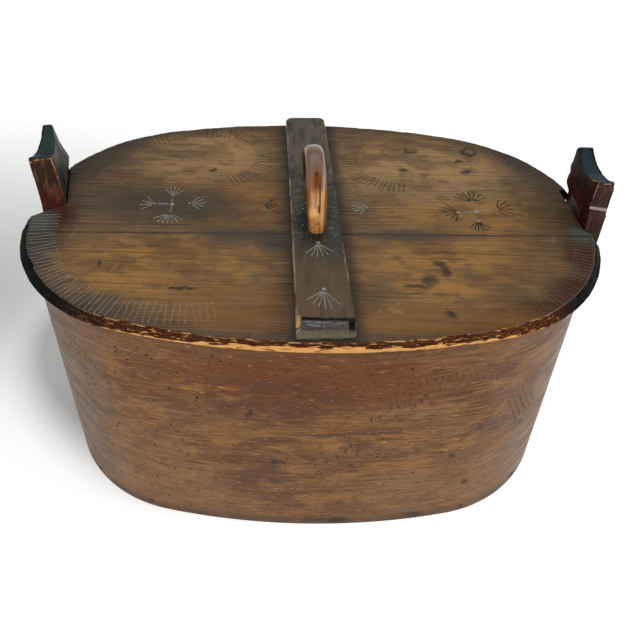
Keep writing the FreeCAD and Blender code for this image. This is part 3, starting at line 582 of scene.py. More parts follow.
def edge_finish():
    """The outer edge: nearly black at the lobes and behind, dark oil in front, raw wood where knocked."""
    wood = Wood("nearly_black_lid_edge", "#0d0f0f", "#060707", ring=2.0, warp=5.0, length=260, fibre=0.3, seed=8)
    lay, put = wood.lay, wood.put
    lay("#1d1a17", 0.5, ("here", 9, 3, 0.55, 0.7))
    lay("#47210f", 0.9, ("Y", -90, -116), ("X", -175, -95))
    lay("#6b4128", 0.6, ("Y", -96, -120), ("here", 16, 2.2, 0.5, 0.62))
    # the raw band is torn along its top, and thins out towards both lobes
    front, reach = wood.past("Y", -100, -122), wood.past("X", -176, -120)
    torn = put("ShaderNodeVectorMath", {0: wood.here, 1: (-15, 0, 0)}, operation="ADD")
    torn = put("ShaderNodeVectorMath", {0: torn}, operation="ABSOLUTE")
    torn = put("ShaderNodeVectorMath", {0: torn, 1: (0.038, 0, 1)}, "Value", operation="DOT_PRODUCT")
    torn = put("ShaderNodeMath", {0: wood.noise(14, 4, 3.0, where=wood.here), 1: 9.0, 2: torn},
               operation="MULTIPLY_ADD")
    lay("#efb069", 0.95, wood.past(torn, 213.2, 212.3), front, reach, ("X", 182, 150))
    lay("#d9a05f", 0.85, front, ("here", 11, 1.8, 0.6, 0.66), reach)
    lay("#d2a36b", 0.8, ("arris", 0.1, 0.5), ("Z", 210.8, 211.3), front, *EDGE_WEAR)
    lay("#5a2f16", 0.7, front, ("here", 7, 1.1, 0.56, 0.64))
    return wood.done(0.6, 0.8, shine=0.05)


lid_wood, edge_wood = lid_finish(), edge_finish()
for board in boards:
    board.data.materials.append(lid_wood)
    board.data.materials.append(edge_wood)
    for face in board.data.polygons:
        if face.center.z < LID_HIGH - 0.5 * MM:
            face.material_index = 1
    mark_edges(board, 2 * MM, spread=1)
print("lid finish nodes", len(lid_wood.node_tree.nodes))

# %% [markdown]
# ## Stamped ornament
#
# The decoration is punched, not carved: a toothed iron leaves rows of small pits, set side by side
# into wreaths, and a gouge tip gives the rays of the little fans. Real pits catch real shadow, so
# they are cut out of the mesh. Geometry Nodes repeat the tools: one tree walks along a path and
# sets down combs of pits, one sweeps a gouge along each ray, and one sets pits on loose points.

# %% trees that place the stamping tools
LIP = 0.3 * MM  # how far a tool stands out of the surface it cuts


def shape_tree(name, sizes):
    """A geometry tree with named number inputs and a material: the tree, its own add, its inputs."""
    tree = bpy.data.node_groups.new(name, "GeometryNodeTree")
    face = tree.interface
    face.new_socket("Geometry", in_out="INPUT", socket_type="NodeSocketGeometry")
    for label, number in sizes.items():
        kind = "NodeSocketInt" if isinstance(number, int) else "NodeSocketFloat"
        face.new_socket(label, in_out="INPUT", socket_type=kind).default_value = number
    face.new_socket("Finish", in_out="INPUT", socket_type="NodeSocketMaterial")
    face.new_socket("Geometry", in_out="OUTPUT", socket_type="NodeSocketGeometry")
    put = functools.partial(add, tree)
    return tree, put, put("NodeGroupInput").node.outputs


def close_tree(put, given, shape):
    """End a tree the way the export needs it: real geometry with a material."""
    real = put("GeometryNodeRealizeInstances", {0: shape})
    put("NodeGroupOutput", {0: put("GeometryNodeSetMaterial", {"Geometry": real,
                                                               "Material": given["Finish"]})})


def run_tree(thing, tree, **inputs):
    """Run a tree on an object once and keep the result as its plain mesh."""
    work = thing.modifiers.new(tree.name, "NODES")
    work.node_group = tree
    for socket in tree.interface.items_tree:
        if socket.in_out == "INPUT" and socket.name in inputs:
            work[socket.identifier] = inputs[socket.name]
    baked(thing)
    return thing


def pit(put, radius, depth):
    """One pyramid-shaped pit, point down, its mouth a little above the surface."""
    tall = put("ShaderNodeMath", {0: depth, 1: LIP}, operation="ADD")
    widen = put("ShaderNodeMath", {0: tall, 1: depth}, operation="DIVIDE")
    mouth = put("ShaderNodeMath", {0: radius, 1: widen}, operation="MULTIPLY")
    cone = put("GeometryNodeMeshCone", {"Vertices": 6, "Side Segments": 1, "Fill Segments": 1,
                                        "Radius Top": mouth, "Radius Bottom": 0.0, "Depth": tall})
    sink = put("ShaderNodeMath", {0: depth, 1: -1.0}, operation="MULTIPLY")
    down = put("ShaderNodeCombineXYZ", {2: sink})
    return put("GeometryNodeTransform", {"Geometry": cone, "Translation": down})


comb_tree, put, given = shape_tree("comb_stamps", {"Pitch": 3.5 * MM, "Length": 16 * MM, "Teeth": 9,
                                                   "Radius": 0.5 * MM, "Depth": 0.7 * MM, "Seed": 1})
path = put("GeometryNodeMeshToCurve", {0: given["Geometry"]})
path = put("GeometryNodeResampleCurve", {"Curve": path, "Length": given["Pitch"]}, mode="LENGTH")
half = put("ShaderNodeMath", {0: given["Length"], 1: -0.5}, operation="MULTIPLY")
gaps = put("ShaderNodeMath", {0: given["Teeth"], 1: 1.0}, operation="SUBTRACT")
gap = put("ShaderNodeMath", {0: given["Length"], 1: gaps}, operation="DIVIDE")
first, offset = put("ShaderNodeCombineXYZ", {1: half}), put("ShaderNodeCombineXYZ", {1: gap})
comb = put("GeometryNodeMeshLine", {"Count": given["Teeth"], "Start Location": first, "Offset": offset})
comb = put("GeometryNodeInstanceOnPoints", {"Points": comb,
                                            "Instance": pit(put, given["Radius"], given["Depth"])})
comb = put("GeometryNodeRealizeInstances", {0: comb})
ahead = put("GeometryNodeInputTangent")
facing = put("FunctionNodeAlignRotationToVector", {"Vector": ahead}, axis="X", pivot_axis="Z")
wobble = put("FunctionNodeRandomValue", {0: (0, 0, -0.06), 1: (0, 0, 0.06), "Seed": given["Seed"]},
             data_type="FLOAT_VECTOR")
facing = put("FunctionNodeRotateRotation", {"Rotation": facing, "Rotate By": wobble})
stray = put("FunctionNodeRandomValue", {0: (-0.0005, -0.0005, 0), 1: (0.0005, 0.0005, 0),
                                        "Seed": given["Seed"]}, data_type="FLOAT_VECTOR")
path = put("GeometryNodeSetPosition", {"Geometry": path, "Offset": stray})
close_tree(put, given, put("GeometryNodeInstanceOnPoints", {"Points": path, "Instance": comb,
                                                            "Rotation": facing}))

ray_tree, put, given = shape_tree("gouge_rays", {"Width": 1.1 * MM, "Tip": 0.45})
rays = put("GeometryNodeMeshToCurve", {0: given["Geometry"]})
rays = put("GeometryNodeResampleCurve", {"Curve": rays, "Count": 4})
run = put("GeometryNodeSplineParameter", output="Factor")
thin = put("ShaderNodeMapRange", {0: run, 1: 0.0, 2: 1.0, 3: 1.0, 4: given["Tip"]})
rays = put("GeometryNodeSetCurveRadius", {"Curve": rays, "Radius": thin})
round_tip = put("ShaderNodeMath", {0: given["Width"], 1: 0.5}, operation="MULTIPLY")
gouge = put("GeometryNodeCurvePrimitiveCircle", {"Resolution": 8, "Radius": round_tip})
close_tree(put, given, put("GeometryNodeCurveToMesh", {"Curve": rays, "Profile Curve": gouge,
                                                       "Fill Caps": True}))

point_tree, put, given = shape_tree("pits_on_points", {"Radius": 0.6 * MM, "Depth": 1.5 * MM,
                                                       "Least": 0.5, "Most": 1.3, "Seed": 5})
outward = put("GeometryNodeInputNamedAttribute", {"Name": "out"}, data_type="FLOAT_VECTOR")
facing = put("FunctionNodeAlignRotationToVector", {"Vector": outward}, axis="Z")
size = put("FunctionNodeRandomValue", {2: given["Least"], 3: given["Most"], "Seed": given["Seed"]}, 1,
           data_type="FLOAT")
cut = pit(put, given["Radius"], given["Depth"])
close_tree(put, given, put("GeometryNodeInstanceOnPoints", {"Points": given["Geometry"], "Scale": size,
                                                            "Rotation": facing, "Instance": cut}))
print("trees", [g.name for g in bpy.data.node_groups])

# %% what fills the pits
def plain_finish(name, code, rough, speckle=0.25, size=1.2):
    """A dull matter such as wax, dust or soot: one colour broken up by fine specks."""
    material = bpy.data.materials.new(name)
    material.use_nodes = True
    tree = material.node_tree
    shader = tree.nodes["Principled BSDF"]
    place = add(tree, "ShaderNodeTexCoord", output="Object")
    specks = add(tree, "ShaderNodeTexNoise", {"Vector": place, "Scale": 1 / (size * MM), "Detail": 2.0})
    shade = add(tree, "ShaderNodeMapRange", {0: specks, 3: 1 - speckle, 4: 1 + speckle})
    tint = add(tree, "ShaderNodeVectorMath", {0: linear(code)[:3], "Scale": shade}, operation="SCALE")
    tree.links.new(tint, shader.inputs["Base Color"])
    shader.inputs["Roughness"].default_value = rough
    shader.inputs["Specular IOR Level"].default_value = 0.3
    return material


# Beeswax caught in the pits dries pale, and its pale blue-grey is also a painted highlight on the
# pits; soot and old oil are almost black.
pale_wax_and_highlight = plain_finish("dried_beeswax", "#94968b", 0.36, speckle=0.95, size=2.2)
dull_wax = plain_finish("dusty_wax", "#756e60", 0.45, speckle=0.9, size=2.2)
old_dirt = plain_finish("soot_and_oil", "#2b251e", 0.5)
rubbed_dirt = plain_finish("rubbed_out_dirt", "#35241a", 0.6, speckle=0.5)

# %% where the wreaths and fans are, in millimetres on the lid
WREATHS = [
    # path of the comb's middle, pitch, comb length, teeth, pit radius, what fills it
    ([(-203, -8), (-202, -25), (-198.5, -42), (-193.5, -57), (-187, -71), (-177, -85), (-164, -97),
      (-149, -106), (-133, -112)], 3.9, 19, 14, 0.5, pale_wax_and_highlight),
    ([(-128, -114), (-115, -116.5), (-98, -117.5), (-80, -117), (-66, -113)], 4.4, 18, 9, 0.55, pale_wax_and_highlight),
    ([(-60, -110), (-50, -103), (-43, -93), (-40, -82), (-40, -68), (-43, -54), (-49, -44)],
     4.0, 15, 9, 0.55, dull_wax),
    ([(-192, 45), (-186, 62), (-176, 78), (-163, 93), (-148, 105), (-130, 113)], 4.2, 19, 11, 0.6, old_dirt),
    ([(-100, 123), (-84, 125), (-68, 123), (-57, 117), (-49, 108), (-44, 96), (-42, 84), (-44, 72),
      (-49, 60), (-57, 52), (-68, 46)], 4.2, 13, 9, 0.62, old_dirt),
    ([(205, -24), (204, -35), (201, -48), (196, -61), (188, -74)], 3.7, 17, 12, 0.5, dull_wax),
    ([(183, -80), (172, -91), (158, -99), (143, -104), (128, -107), (112, -110), (96, -111)],
     4.0, 16, 9, 0.46, dull_wax),
    ([(60, -97), (51, -90), (45, -80), (42.5, -66), (43, -52), (46, -41), (55, -33)],
     3.7, 15, 9, 0.52, dull_wax),
    ([(64, 127), (50, 121), (39, 112), (33, 101), (31, 90), (31, 78), (34, 66), (40, 56), (50, 48),
      (62, 43), (74, 41)], 3.8, 13, 9, 0.62, old_dirt),
    ([(198, 48), (191, 65), (181, 79), (167, 92), (152, 103), (136, 111)], 4.4, 17, 10, 0.5, old_dirt),
]
FANS = [
    # hub, ray tips, what fills it
    ((-112, 22), [(-119, 31), (-116, 34), (-112, 36), (-108, 34), (-104, 31)], pale_wax_and_highlight),
    ((-111, -3), [(-123, -10), (-119, -14), (-115, -16), (-111, -17), (-107, -16), (-103, -14),
                  (-100, -10)], pale_wax_and_highlight),
    ((-125, 10.5), [(-132, 20), (-135, 14), (-136, 8), (-134, 2)], pale_wax_and_highlight),
    ((-97, 11), [(-91, 21), (-87, 18), (-85, 13), (-86, 8), (-89, 4)], pale_wax_and_highlight),
    ((128, 23), [(113, 31), (117, 35), (122, 37), (127, 38), (132, 38), (137, 35), (140, 30)], old_dirt),
    ((129, -3), [(121, -12), (124, -15), (127, -17), (131, -17), (134, -16), (137, -12)], old_dirt),
    ((115, 8), [(105, 21), (103, 15), (102, 9), (104, 3), (107, -1), (111, -5)], old_dirt),
    ((146, 14), [(150, 27), (155, 25), (159, 20), (160, 15), (158, 9), (153, 4)], old_dirt),
    ((-39.5, 9), [(-32, 20), (-29, 16), (-27, 12), (-26, 8), (-29, 4)], old_dirt),
    ((42, 12), [(36, 24), (32, 20), (30, 15), (30, 10), (32, 6), (37, 3)], pale_wax_and_highlight),
]
STEMS = [((-112, 19.5), (-111.3, 12.5)), ((-111, 7.5), (-111, 0)), ((-122.5, 10.3), (-114, 10.2)),
         ((128.6, 20), (129.6, 13.5)), ((118, 8.5), (126, 9.6)), ((134, 11), (143, 13.5))]
DOTS = [((-111, 10), 1.9, pale_wax_and_highlight), ((130, 10), 2.6, pale_wax_and_highlight), ((128, 24), 1.4, pale_wax_and_highlight),
        ((115, 8), 1.5, pale_wax_and_highlight), ((129, -2.5), 1.4, pale_wax_and_highlight), ((-125, 10.5), 1.3, pale_wax_and_highlight),
        ((-97.5, 12), 1.4, pale_wax_and_highlight), ((-112, 23), 1.3, pale_wax_and_highlight), ((42.5, 12), 1.3, pale_wax_and_highlight)]

print("wreaths", len(WREATHS), "fans", len(FANS), "stems", len(STEMS), "dots", len(DOTS))

# %% tools made from the trees
def path_mesh(name, lines, height=0.0):
    """Edges along lists of points in millimetres, at one height where they give none."""
    mesh = bpy.data.meshes.new(name)
    spots, edges = [], []
    for line in lines:
        edges += [(len(spots) + i, len(spots) + i + 1) for i in range(len(line) - 1)]
        spots += [(p[0] * MM, p[1] * MM, p[2] * MM if len(p) > 2 else height) for p in line]
    mesh.from_pydata(spots, edges, [])
    return show(name, mesh)


def fan_lines(hub, tips, start):
    """Rays from near the hub to the tips, so that neighbours don't run into each other."""
    lines = []
    for tip in tips:
        near = [h + (t - h) * start / math.dist(hub, tip) for h, t in zip(hub, tip)]
        lines.append([near, tip])
    return lines


def ray_tools(name, fans, height, width, start):
    """Gouge strokes of some fans as tools in which no stroke touches another."""
    made = []
    for filling in (pale_wax_and_highlight, dull_wax, old_dirt):
        for turn in range(3):
            rays = [ray for hub, tips, what in fans if what is filling
                    for ray in fan_lines(hub, tips, start)[turn::3]]
            if rays:
                tool = path_mesh(f"{name}_{filling.name}_{turn}", rays, height)
                made.append(run_tree(tool, ray_tree, Width=width * MM, Tip=0.2, Finish=filling))
    return made


def loose_pits(name, spots, radius, depth, filling, least, most, seed=5):
    """Pits cut at single places, each given as a point and an outward direction in metres."""
    mesh = bpy.data.meshes.new(name)
    mesh.from_pydata([p for p, _ in spots], [], [])
    store(mesh, "out", [n for _, n in spots])
    return run_tree(show(name, mesh), point_tree, Radius=radius * MM, Depth=depth * MM, Least=least,
                    Most=most, Seed=seed, Finish=filling)


def dot(name, x, y, height, radius, filling):
    """One round pit in a flat top."""
    return loose_pits(name, [((x * MM, y * MM, height), (0, 0, 1))], radius, 0.8, filling, 1.0, 1.0)


def cut_away(pieces, tools):
    """Take each tool's shape out of the pieces and drop it; cut faces keep the tool's material."""
    for piece in pieces:
        for tool in tools:
            work = piece.modifiers.new("cut", "BOOLEAN")
            work.operation = "DIFFERENCE"
            work.solver = "MANIFOLD"
            work.material_mode = "TRANSFER"
            work.object = tool
            baked(piece)
    for tool in tools:
        bpy.data.objects.remove(tool)


# %% cutting the lid's stamps
tools = []
for number, (line, pitch, length, teeth, radius, filling) in enumerate(WREATHS):
    tool = path_mesh(f"wreath_{number}", [line], LID_HIGH)
    tools.append(run_tree(tool, comb_tree, Pitch=pitch * MM, Length=length * MM, Teeth=teeth,
                          Radius=radius * MM, Depth=0.75 * MM, Seed=number, Finish=filling))
tools += ray_tools("fans", FANS, LID_HIGH, 0.9, 2.3)
stems = path_mesh("stems", STEMS, LID_HIGH)
tools.append(run_tree(stems, ray_tree, Width=1.0 * MM, Tip=0.7, Finish=pale_wax_and_highlight))
tools += [dot("dot", *spot, LID_HIGH, radius, filling) for spot, radius, filling in DOTS]
print("stamping tools", len(tools), "faces", sum(len(t.data.polygons) for t in tools))
cut_away(boards, tools)
for board in boards:
    smooth_shaded(board)
    for face in board.data.polygons:
        if abs(face.normal.z) > 0.9999:
            face.use_smooth = False
    grain_by(board, (1, 0, 0), (0, 1, 0))
    print(board.name, "triangles", triangles(board))

# %% [markdown]
# ## The bent side
#
# The side is one board about 5 mm thick, bent while hot. Its two ends are thinned and lap over
# each other at the middle of the back. So it is built the way it was made: as a long strip with an
# outer and an inner face, laid along an oval of eight arcs that blend into each other. Where the
# outer layer starts it stands a little proud; where the strip comes round again it dives under.

# %% the oval and the strip's path
WALL, RIM = 5.0 * MM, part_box("side_band")[1].z
HALF_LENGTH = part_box("side_band")[1].x
HALF_WIDTH = -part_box("side_band")[0].y
SIDE_BULGE, END_BULGE, END_FLAT = 9.7 * MM, 0.5 * MM, 14.3 * MM
LAP, LAP_SWELL, LAP_RAMP, LAP_GAP = 35 * MM, 1.2 * MM, 25 * MM, 0.25 * MM


def oval():
    """The outer outline as points and outward directions, clockwise from the middle of the back."""
    corner = HALF_WIDTH - SIDE_BULGE - END_FLAT
    cx, cy = HALF_LENGTH - corner - END_BULGE, HALF_WIDTH - corner - SIDE_BULGE
    side = (cx ** 2 + (corner + SIDE_BULGE) ** 2 - corner ** 2) / (2 * SIDE_BULGE)
    end = (cy ** 2 + (corner + END_BULGE) ** 2 - corner ** 2) / (2 * END_BULGE)
    to_side = math.atan2(cy - (HALF_WIDTH - side), cx)
    to_end = math.atan2(cy, cx - (HALF_LENGTH - end))
    quarter = []
    for (x, y), radius, start, stop in (((0, HALF_WIDTH - side), side, math.pi / 2, to_side),
                                        ((cx, cy), corner, to_side, to_end),
                                        ((HALF_LENGTH - end, 0), end, to_end, 0.0)):
        steps = max(2, round(abs(stop - start) * radius / (0.3 * MM)))
        for angle in np.linspace(start, stop, steps, endpoint=False):
            ahead, aside = math.cos(angle), math.sin(angle)
            quarter.append((x + radius * ahead, y + radius * aside, ahead, aside))
    quarter = np.array(quarter)
    return np.vstack([quarter, (quarter * (1, -1, 1, -1))[::-1], quarter * (-1, -1, -1, -1),
                      (quarter * (-1, 1, -1, 1))[::-1]])


OVAL = oval()
RUN = np.concatenate([[0], np.cumsum(np.hypot(*np.diff(OVAL[:, :2], axis=0).T))])
ROUND = RUN[-1] + np.hypot(*(OVAL[0, :2] - OVAL[-1, :2]))


def along_oval(run):
    """Points and outward directions at distances round the oval from the middle of the back."""
    run = np.mod(run, ROUND)
    return np.stack([np.interp(run, np.append(RUN, ROUND), np.append(OVAL[:, i], OVAL[0, i]))
                     for i in range(4)], 1)


print("round the side", round(ROUND * 1000), "mm")

# %% [markdown]
# The finish follows the strip: its streaks run round the box. The outside is warm brown, darker in
# the middle under the hands and greyer round the ends, with a purple-brown stain low down.

# %% waxed pine for the side
def side_finish():
    wood = Wood("bent_pine_side", "#8c5f38", "#5c3a20", ring=2.3, warp=14.0, length=62, fibre=0.44,
                seed=31, ragged=(15, 15))
    lay, put = wood.lay, wood.put
    # seen from the front, a place on the wall is its x and its height
    wide = put("ShaderNodeMapping", {"Vector": wood.ragged, "Rotation": (math.pi / 2, 0, 0)},
               vector_type="VECTOR")
    wood.sheet = put("ShaderNodeVectorMath", {0: wide, 1: (1, -1, 0)}, operation="MULTIPLY")
    front = wood.past("Y", 0, -60)
    lay("#9c6d3c", 0.6, (32, 17, 0.47, 0.6, 6.0))
    lay("#5a3a27", 0.6, (26, 16, 0.5, 0.62, 6.0))
    lay("#8d6a48", 0.45, (80, 40, 0.4, 0.75))
    lay("#906a45", 0.55, front, ([(-110, 42, 76, 44, -14), (118, 38, 76, 44, 14)], 0.6))
    lay("#6a350f", 0.82, front, ([(-10, 172, 104, 32, 0)], 0.6))
    lay("#6f5d4a", 0.65, front, ([(-196, 120, 42, 90, 0)], 0.6))
    stains = [(-38, 60, 28, 26, 0), (-30, 152, 60, 20, 0), (30, 100, 26, 9, 25), (-10, 92, 20, 6, -12),
              (140, 112, 12, 10, 0), (132, 172, 14, 7, 0)]
    lay("#4e3328", 0.75, front, (stains, 0.6), (26, 9, 0.3, 0.62))
    light = [(22, 130, 14, 6, 0), (50, 112, 12, 5, 0), (-22, 96, 9, 6, 0), (-66, 100, 9, 14, 0),
             (64, 78, 30, 5, 0), (8, 112, 12, 9, 0), (-84, 162, 14, 7, -8), (-56, 158, 12, 8, 0)]
    lay("#a5713a", 0.6, front, (light, 0.7), (18, 6, 0.38, 0.6))
    # dark streaks of late wood, then specks and smears: dust in the pores and rubbed spots
    lay("#43270f", 0.36, (42, 1.5, 0.57, 0.65, 5.0))
    lay("#4d2f15", 0.45, (24, 0.8, 0.56, 0.64, 3.0))
    lay("#3a2415", 0.5, (8, 1.5, 0.57, 0.63, 4.0))
    lay("#c89d66", 0.42, (7, 1.4, 0.62, 0.69, 4.0))
    dark = [(-42, 136, 2.6, 3.4, 0), (-24, 82, 3.4, 3, 0), (127, 111, 1.8, 2.2, 0),
            (166, 96, 2.6, 4.5, 0), (128, 44, 1.8, 4, 0), (-176, 78, 4, 3, 30), (90, 4, 7, 6, 0),
            (26, 4, 8, 6, 0), (111, 83, 3, 3.4, 0)]
    lay("#2b231f", 0.75, front, (dark, 0.5))
    away = put("ShaderNodeVectorMath", {0: wood.here}, operation="ABSOLUTE")
    lay("#6f5d4a", 0.5, wood.past(put("ShaderNodeSeparateXYZ", {0: away}), 120, 205))
    lay("#3d2f25", 0.6, ("Z", 14, 4), (20, 9, 0.2, 0.5))
    lay("#5c4030", 0.35, ("Z", 186, 202))
    lay("#b58a5a", 0.5, ("arris", 0.2, 0.7), ("Z", 190, 200))
    return wood.done(0.4, 0.6, bump=0.05, shine=0.2)


side_wood = side_finish()
print("side finish nodes", len(side_wood.node_tree.nodes))

# %% the strip
def strip_columns():
    """Distance, outer offset and inner offset for every column along the strip."""
    lap, ramp_end = np.interp((LAP, LAP + LAP_RAMP), OVAL[:400, 0], RUN[:400])
    under, last = -WALL / 2, ROUND - lap - LAP_GAP
    columns = [(s, LAP_SWELL, under + LAP_GAP / 2) for s in np.linspace(-lap, lap, 30)]
    columns.append((lap + LAP_GAP, LAP_SWELL, under + LAP_GAP / 2))
    columns += [(s, LAP_SWELL * (ramp_end - s) / (ramp_end - lap), -WALL)
                for s in np.linspace(lap + LAP_GAP, ramp_end, 9)]
    count = round((ROUND - lap - ramp_end) / (3.2 * MM))
    columns += [(s, 0.0, -WALL) for s in np.linspace(ramp_end, last, count)[1:]]
    columns += [(s, under - LAP_GAP / 2, -WALL) for s in np.linspace(last, ROUND + lap, 30)]
    return np.array(columns)


def quads(work, one, two, flip):
    """Faces between two rows of vertices."""
    for i in range(len(one) - 1):
        quad = (one[i], two[i], two[i + 1], one[i + 1])
        work.faces.new(quad[::-1] if flip else quad)


def strip(name):
    """The whole side as one strip, with an outer and an inner face closed at all four borders."""
    columns = strip_columns()
    run, path = columns[:, 0], along_oval(columns[:, 0])
    levels = np.concatenate([[0.0, 0.3, 0.9], np.arange(5, 196, 4.6), [198.5, 200.2, 201.3, 201.8]]) * MM
    levels *= RIM / (202 * MM)
    # both faces draw together at the foot and the rim, where the arrises are worn
    ease = np.concatenate([[0.7, 0.25, 0.0], np.zeros(len(levels) - 6), [0.3, 0.8, 1.6]]) * MM
    work = bmesh.new()
    grids, grain = [], []
    for offset, sign in ((columns[:, 1], -1), (columns[:, 2], 1)):
        grid = []
        for level, soft in zip(levels, ease):
            place = np.column_stack([run, np.full(len(run), level), np.zeros(len(run))])
            wave = (0.35 * ripple(place, 70 * MM, 8) + 0.16 * ripple(place, 22 * MM, 9)) * MM
            if level < 1 * MM:
                wave *= 0
            push = offset + np.minimum(wave, 0.3 * MM) * 0.5 + sign * soft * 0.5
            spots = path[:, :2] + path[:, 2:] * push[:, None]
            grid.append([work.verts.new((x, y, level)) for x, y in spots])
            grain += [(s, level, 0.0) for s in run]
        for one, two in zip(grid, grid[1:]):
            quads(work, one, two, sign > 0)
        grids.append(grid)
    outer, inner = grids
    quads(work, outer[-1], inner[-1], False)
    quads(work, outer[0], inner[0], True)
    for end, flip in ((0, True), (-1, False)):
        for k in range(len(levels) - 1):
            quad = (outer[k][end], outer[k + 1][end], inner[k + 1][end], inner[k][end])
            work.faces.new(quad[::-1] if flip else quad)
    thing = solid(name, work, side_wood)
    store(thing.data, "grain", grain)
    return thing


side = strip("bent_side")
mark_edges(side, 2 * MM, spread=1)
print("side", len(side.data.polygons), "faces")

# %% [markdown]
# ## Worm holes and the side's ornament
#
# Beetles have left round flight holes, thick on the left. On the right half a stamped arch and a
# small fan can still be made out, and a row of punch marks on the left. All are cut as real pits:
# each gets its place on the wall and the wall's own outward direction.

# %% pits in the wall
def on_front(x, z):
    """The point of the side's front at x and z in millimetres, with its outward direction."""
    half = len(OVAL) // 2
    spot = OVAL[half // 2:half + half // 2]
    order = np.argsort(spot[:, 0])
    px, py, nx, ny = (np.interp(x * MM, spot[order, 0], spot[order, i]) for i in range(4))
    return (px, py, z * MM), (nx, ny, 0.0)


def round_bar(name, centre, radius, length, axis, finish):
    """A plain round tool of some length along an axis."""
    work = bmesh.new()
    bmesh.ops.create_cone(work, cap_ends=True, segments=24, radius1=radius, radius2=radius, depth=length)
    turn = Vector(axis).to_track_quat("Z", "Y").to_matrix().to_4x4()
    work.transform(Matrix.Translation(centre) @ turn)
    return solid(name, work, finish)


# %% where the holes and marks are
LEFT_HOLES, RIGHT_HOLES, APART = 120, 16, 4  # how many, and how far apart at least in mm
chance = random.Random(14)
worm = []
while len(worm) < LEFT_HOLES:
    x, z = chance.uniform(-196, 60), chance.uniform(14, 194)
    crowd = 0.2 + 0.8 * math.exp(-((x + 120) / 60) ** 2)
    if chance.random() < crowd and all((x - a) ** 2 + (z - b) ** 2 > APART ** 2 for a, b in worm):
        worm.append((x, z))
worm += [(chance.uniform(60, 185), chance.uniform(16, 190)) for _ in range(RIGHT_HOLES)]
arch = [(5, 82), (13, 86), (22, 92), (27, 99), (31, 106), (36, 112), (44, 134), (50, 138), (57, 148),
        (60, 155), (65, 161), (70, 166), (75, 169), (80, 171.5), (85, 173), (90, 174), (95, 174.5),
        (100, 174.5), (105, 174), (110, 173), (115, 172), (120, 170), (126, 168), (131, 165), (129, 152),
        (133, 149), (148, 139), (153, 136), (157, 131), (160, 125), (163, 118), (166, 112), (167, 104)]
arch += [(149 + 1.9 * i + 3.6 * j, 139 - 4.4 * i + 2.2 * j) for i in range(8) for j in range(-1, 4)]
arch += [(x + 5, z - 11) for x, z in arch[:20:2]] + [(62 + 4 * i, 148 + (i % 3) * 4) for i in range(7)]
left_row = [(-176, 173), (-172, 172), (-168, 171), (-164, 169.5), (-160, 167), (-157, 162),
            (-153, 157), (-149, 151), (-145, 147), (-172, 166), (-166, 164), (-162, 161)]
marks = [(x + 0.3 * i, z - 1.5 * i) for x, z in arch + left_row for i in range(3)]
hub = (111, 83)
rays = [(104, 73), (107, 70), (110, 68.5), (113, 68.5), (116, 70), (119, 72.5)]
marks += [tuple(h + (t - h) * share for h, t in zip(hub, tip))
          for tip in rays for share in (0.35, 0.6, 0.8, 1.0)]
tools = [loose_pits("worm_holes", [on_front(*spot) for spot in worm], 0.85, 2.2, old_dirt, 0.4, 1.1, 21),
         loose_pits("side_stamps", [on_front(*spot) for spot in marks], 0.5, 0.6, rubbed_dirt, 0.7, 1.25, 22)]
for node in ("left_post_pegs", "right_post_pegs"):
    low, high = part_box(node)
    for y in (low.y + 3.5 * MM, high.y - 3.5 * MM):
        middle = (low + high) / 2
        tools.append(round_bar("peg_bore", Vector((middle.x, y, middle.z)), 4.4 * MM, 36 * MM, (1, 0, 0),
                               old_dirt))
cut_away([side], tools)
smooth_shaded(side)
print("side triangles", triangles(side))

# %% [markdown]
# ## Carved pieces
#
# The posts, the batten and the handle were cut with a knife and then held and knocked for a
# century. Their CAD shapes are exact, so each is remeshed into an even skin of small squares,
# its arrises are worn round, and slow waves of the knife are pushed into the surface.

# %% wearing a CAD shape
def carved(node, voxel, wave, finish, soften=2, swell=0.0):
    """A worn copy of a CAD node; voxel, knife wave and swell are in millimetres."""
    piece = solid(node + "_worn", from_cad(node))
    skin = piece.modifiers.new("skin", "REMESH")
    skin.mode = "VOXEL"
    skin.voxel_size = voxel * MM
    wear = piece.modifiers.new("wear", "SMOOTH")
    wear.factor = 0.5
    wear.iterations = soften
    mesh = baked(piece)
    places = per_vertex(mesh)
    push = wave * MM * (ripple(places, 26 * MM, 11) + 0.45 * ripple(places, 7 * MM, 12) - 0.4) + swell * MM
    move(piece, places + per_vertex(mesh, "normal") * push[:, None])
    mesh.materials.clear()
    mesh.materials.append(finish)
    mark_edges(piece, 2.2 * MM)
    return piece
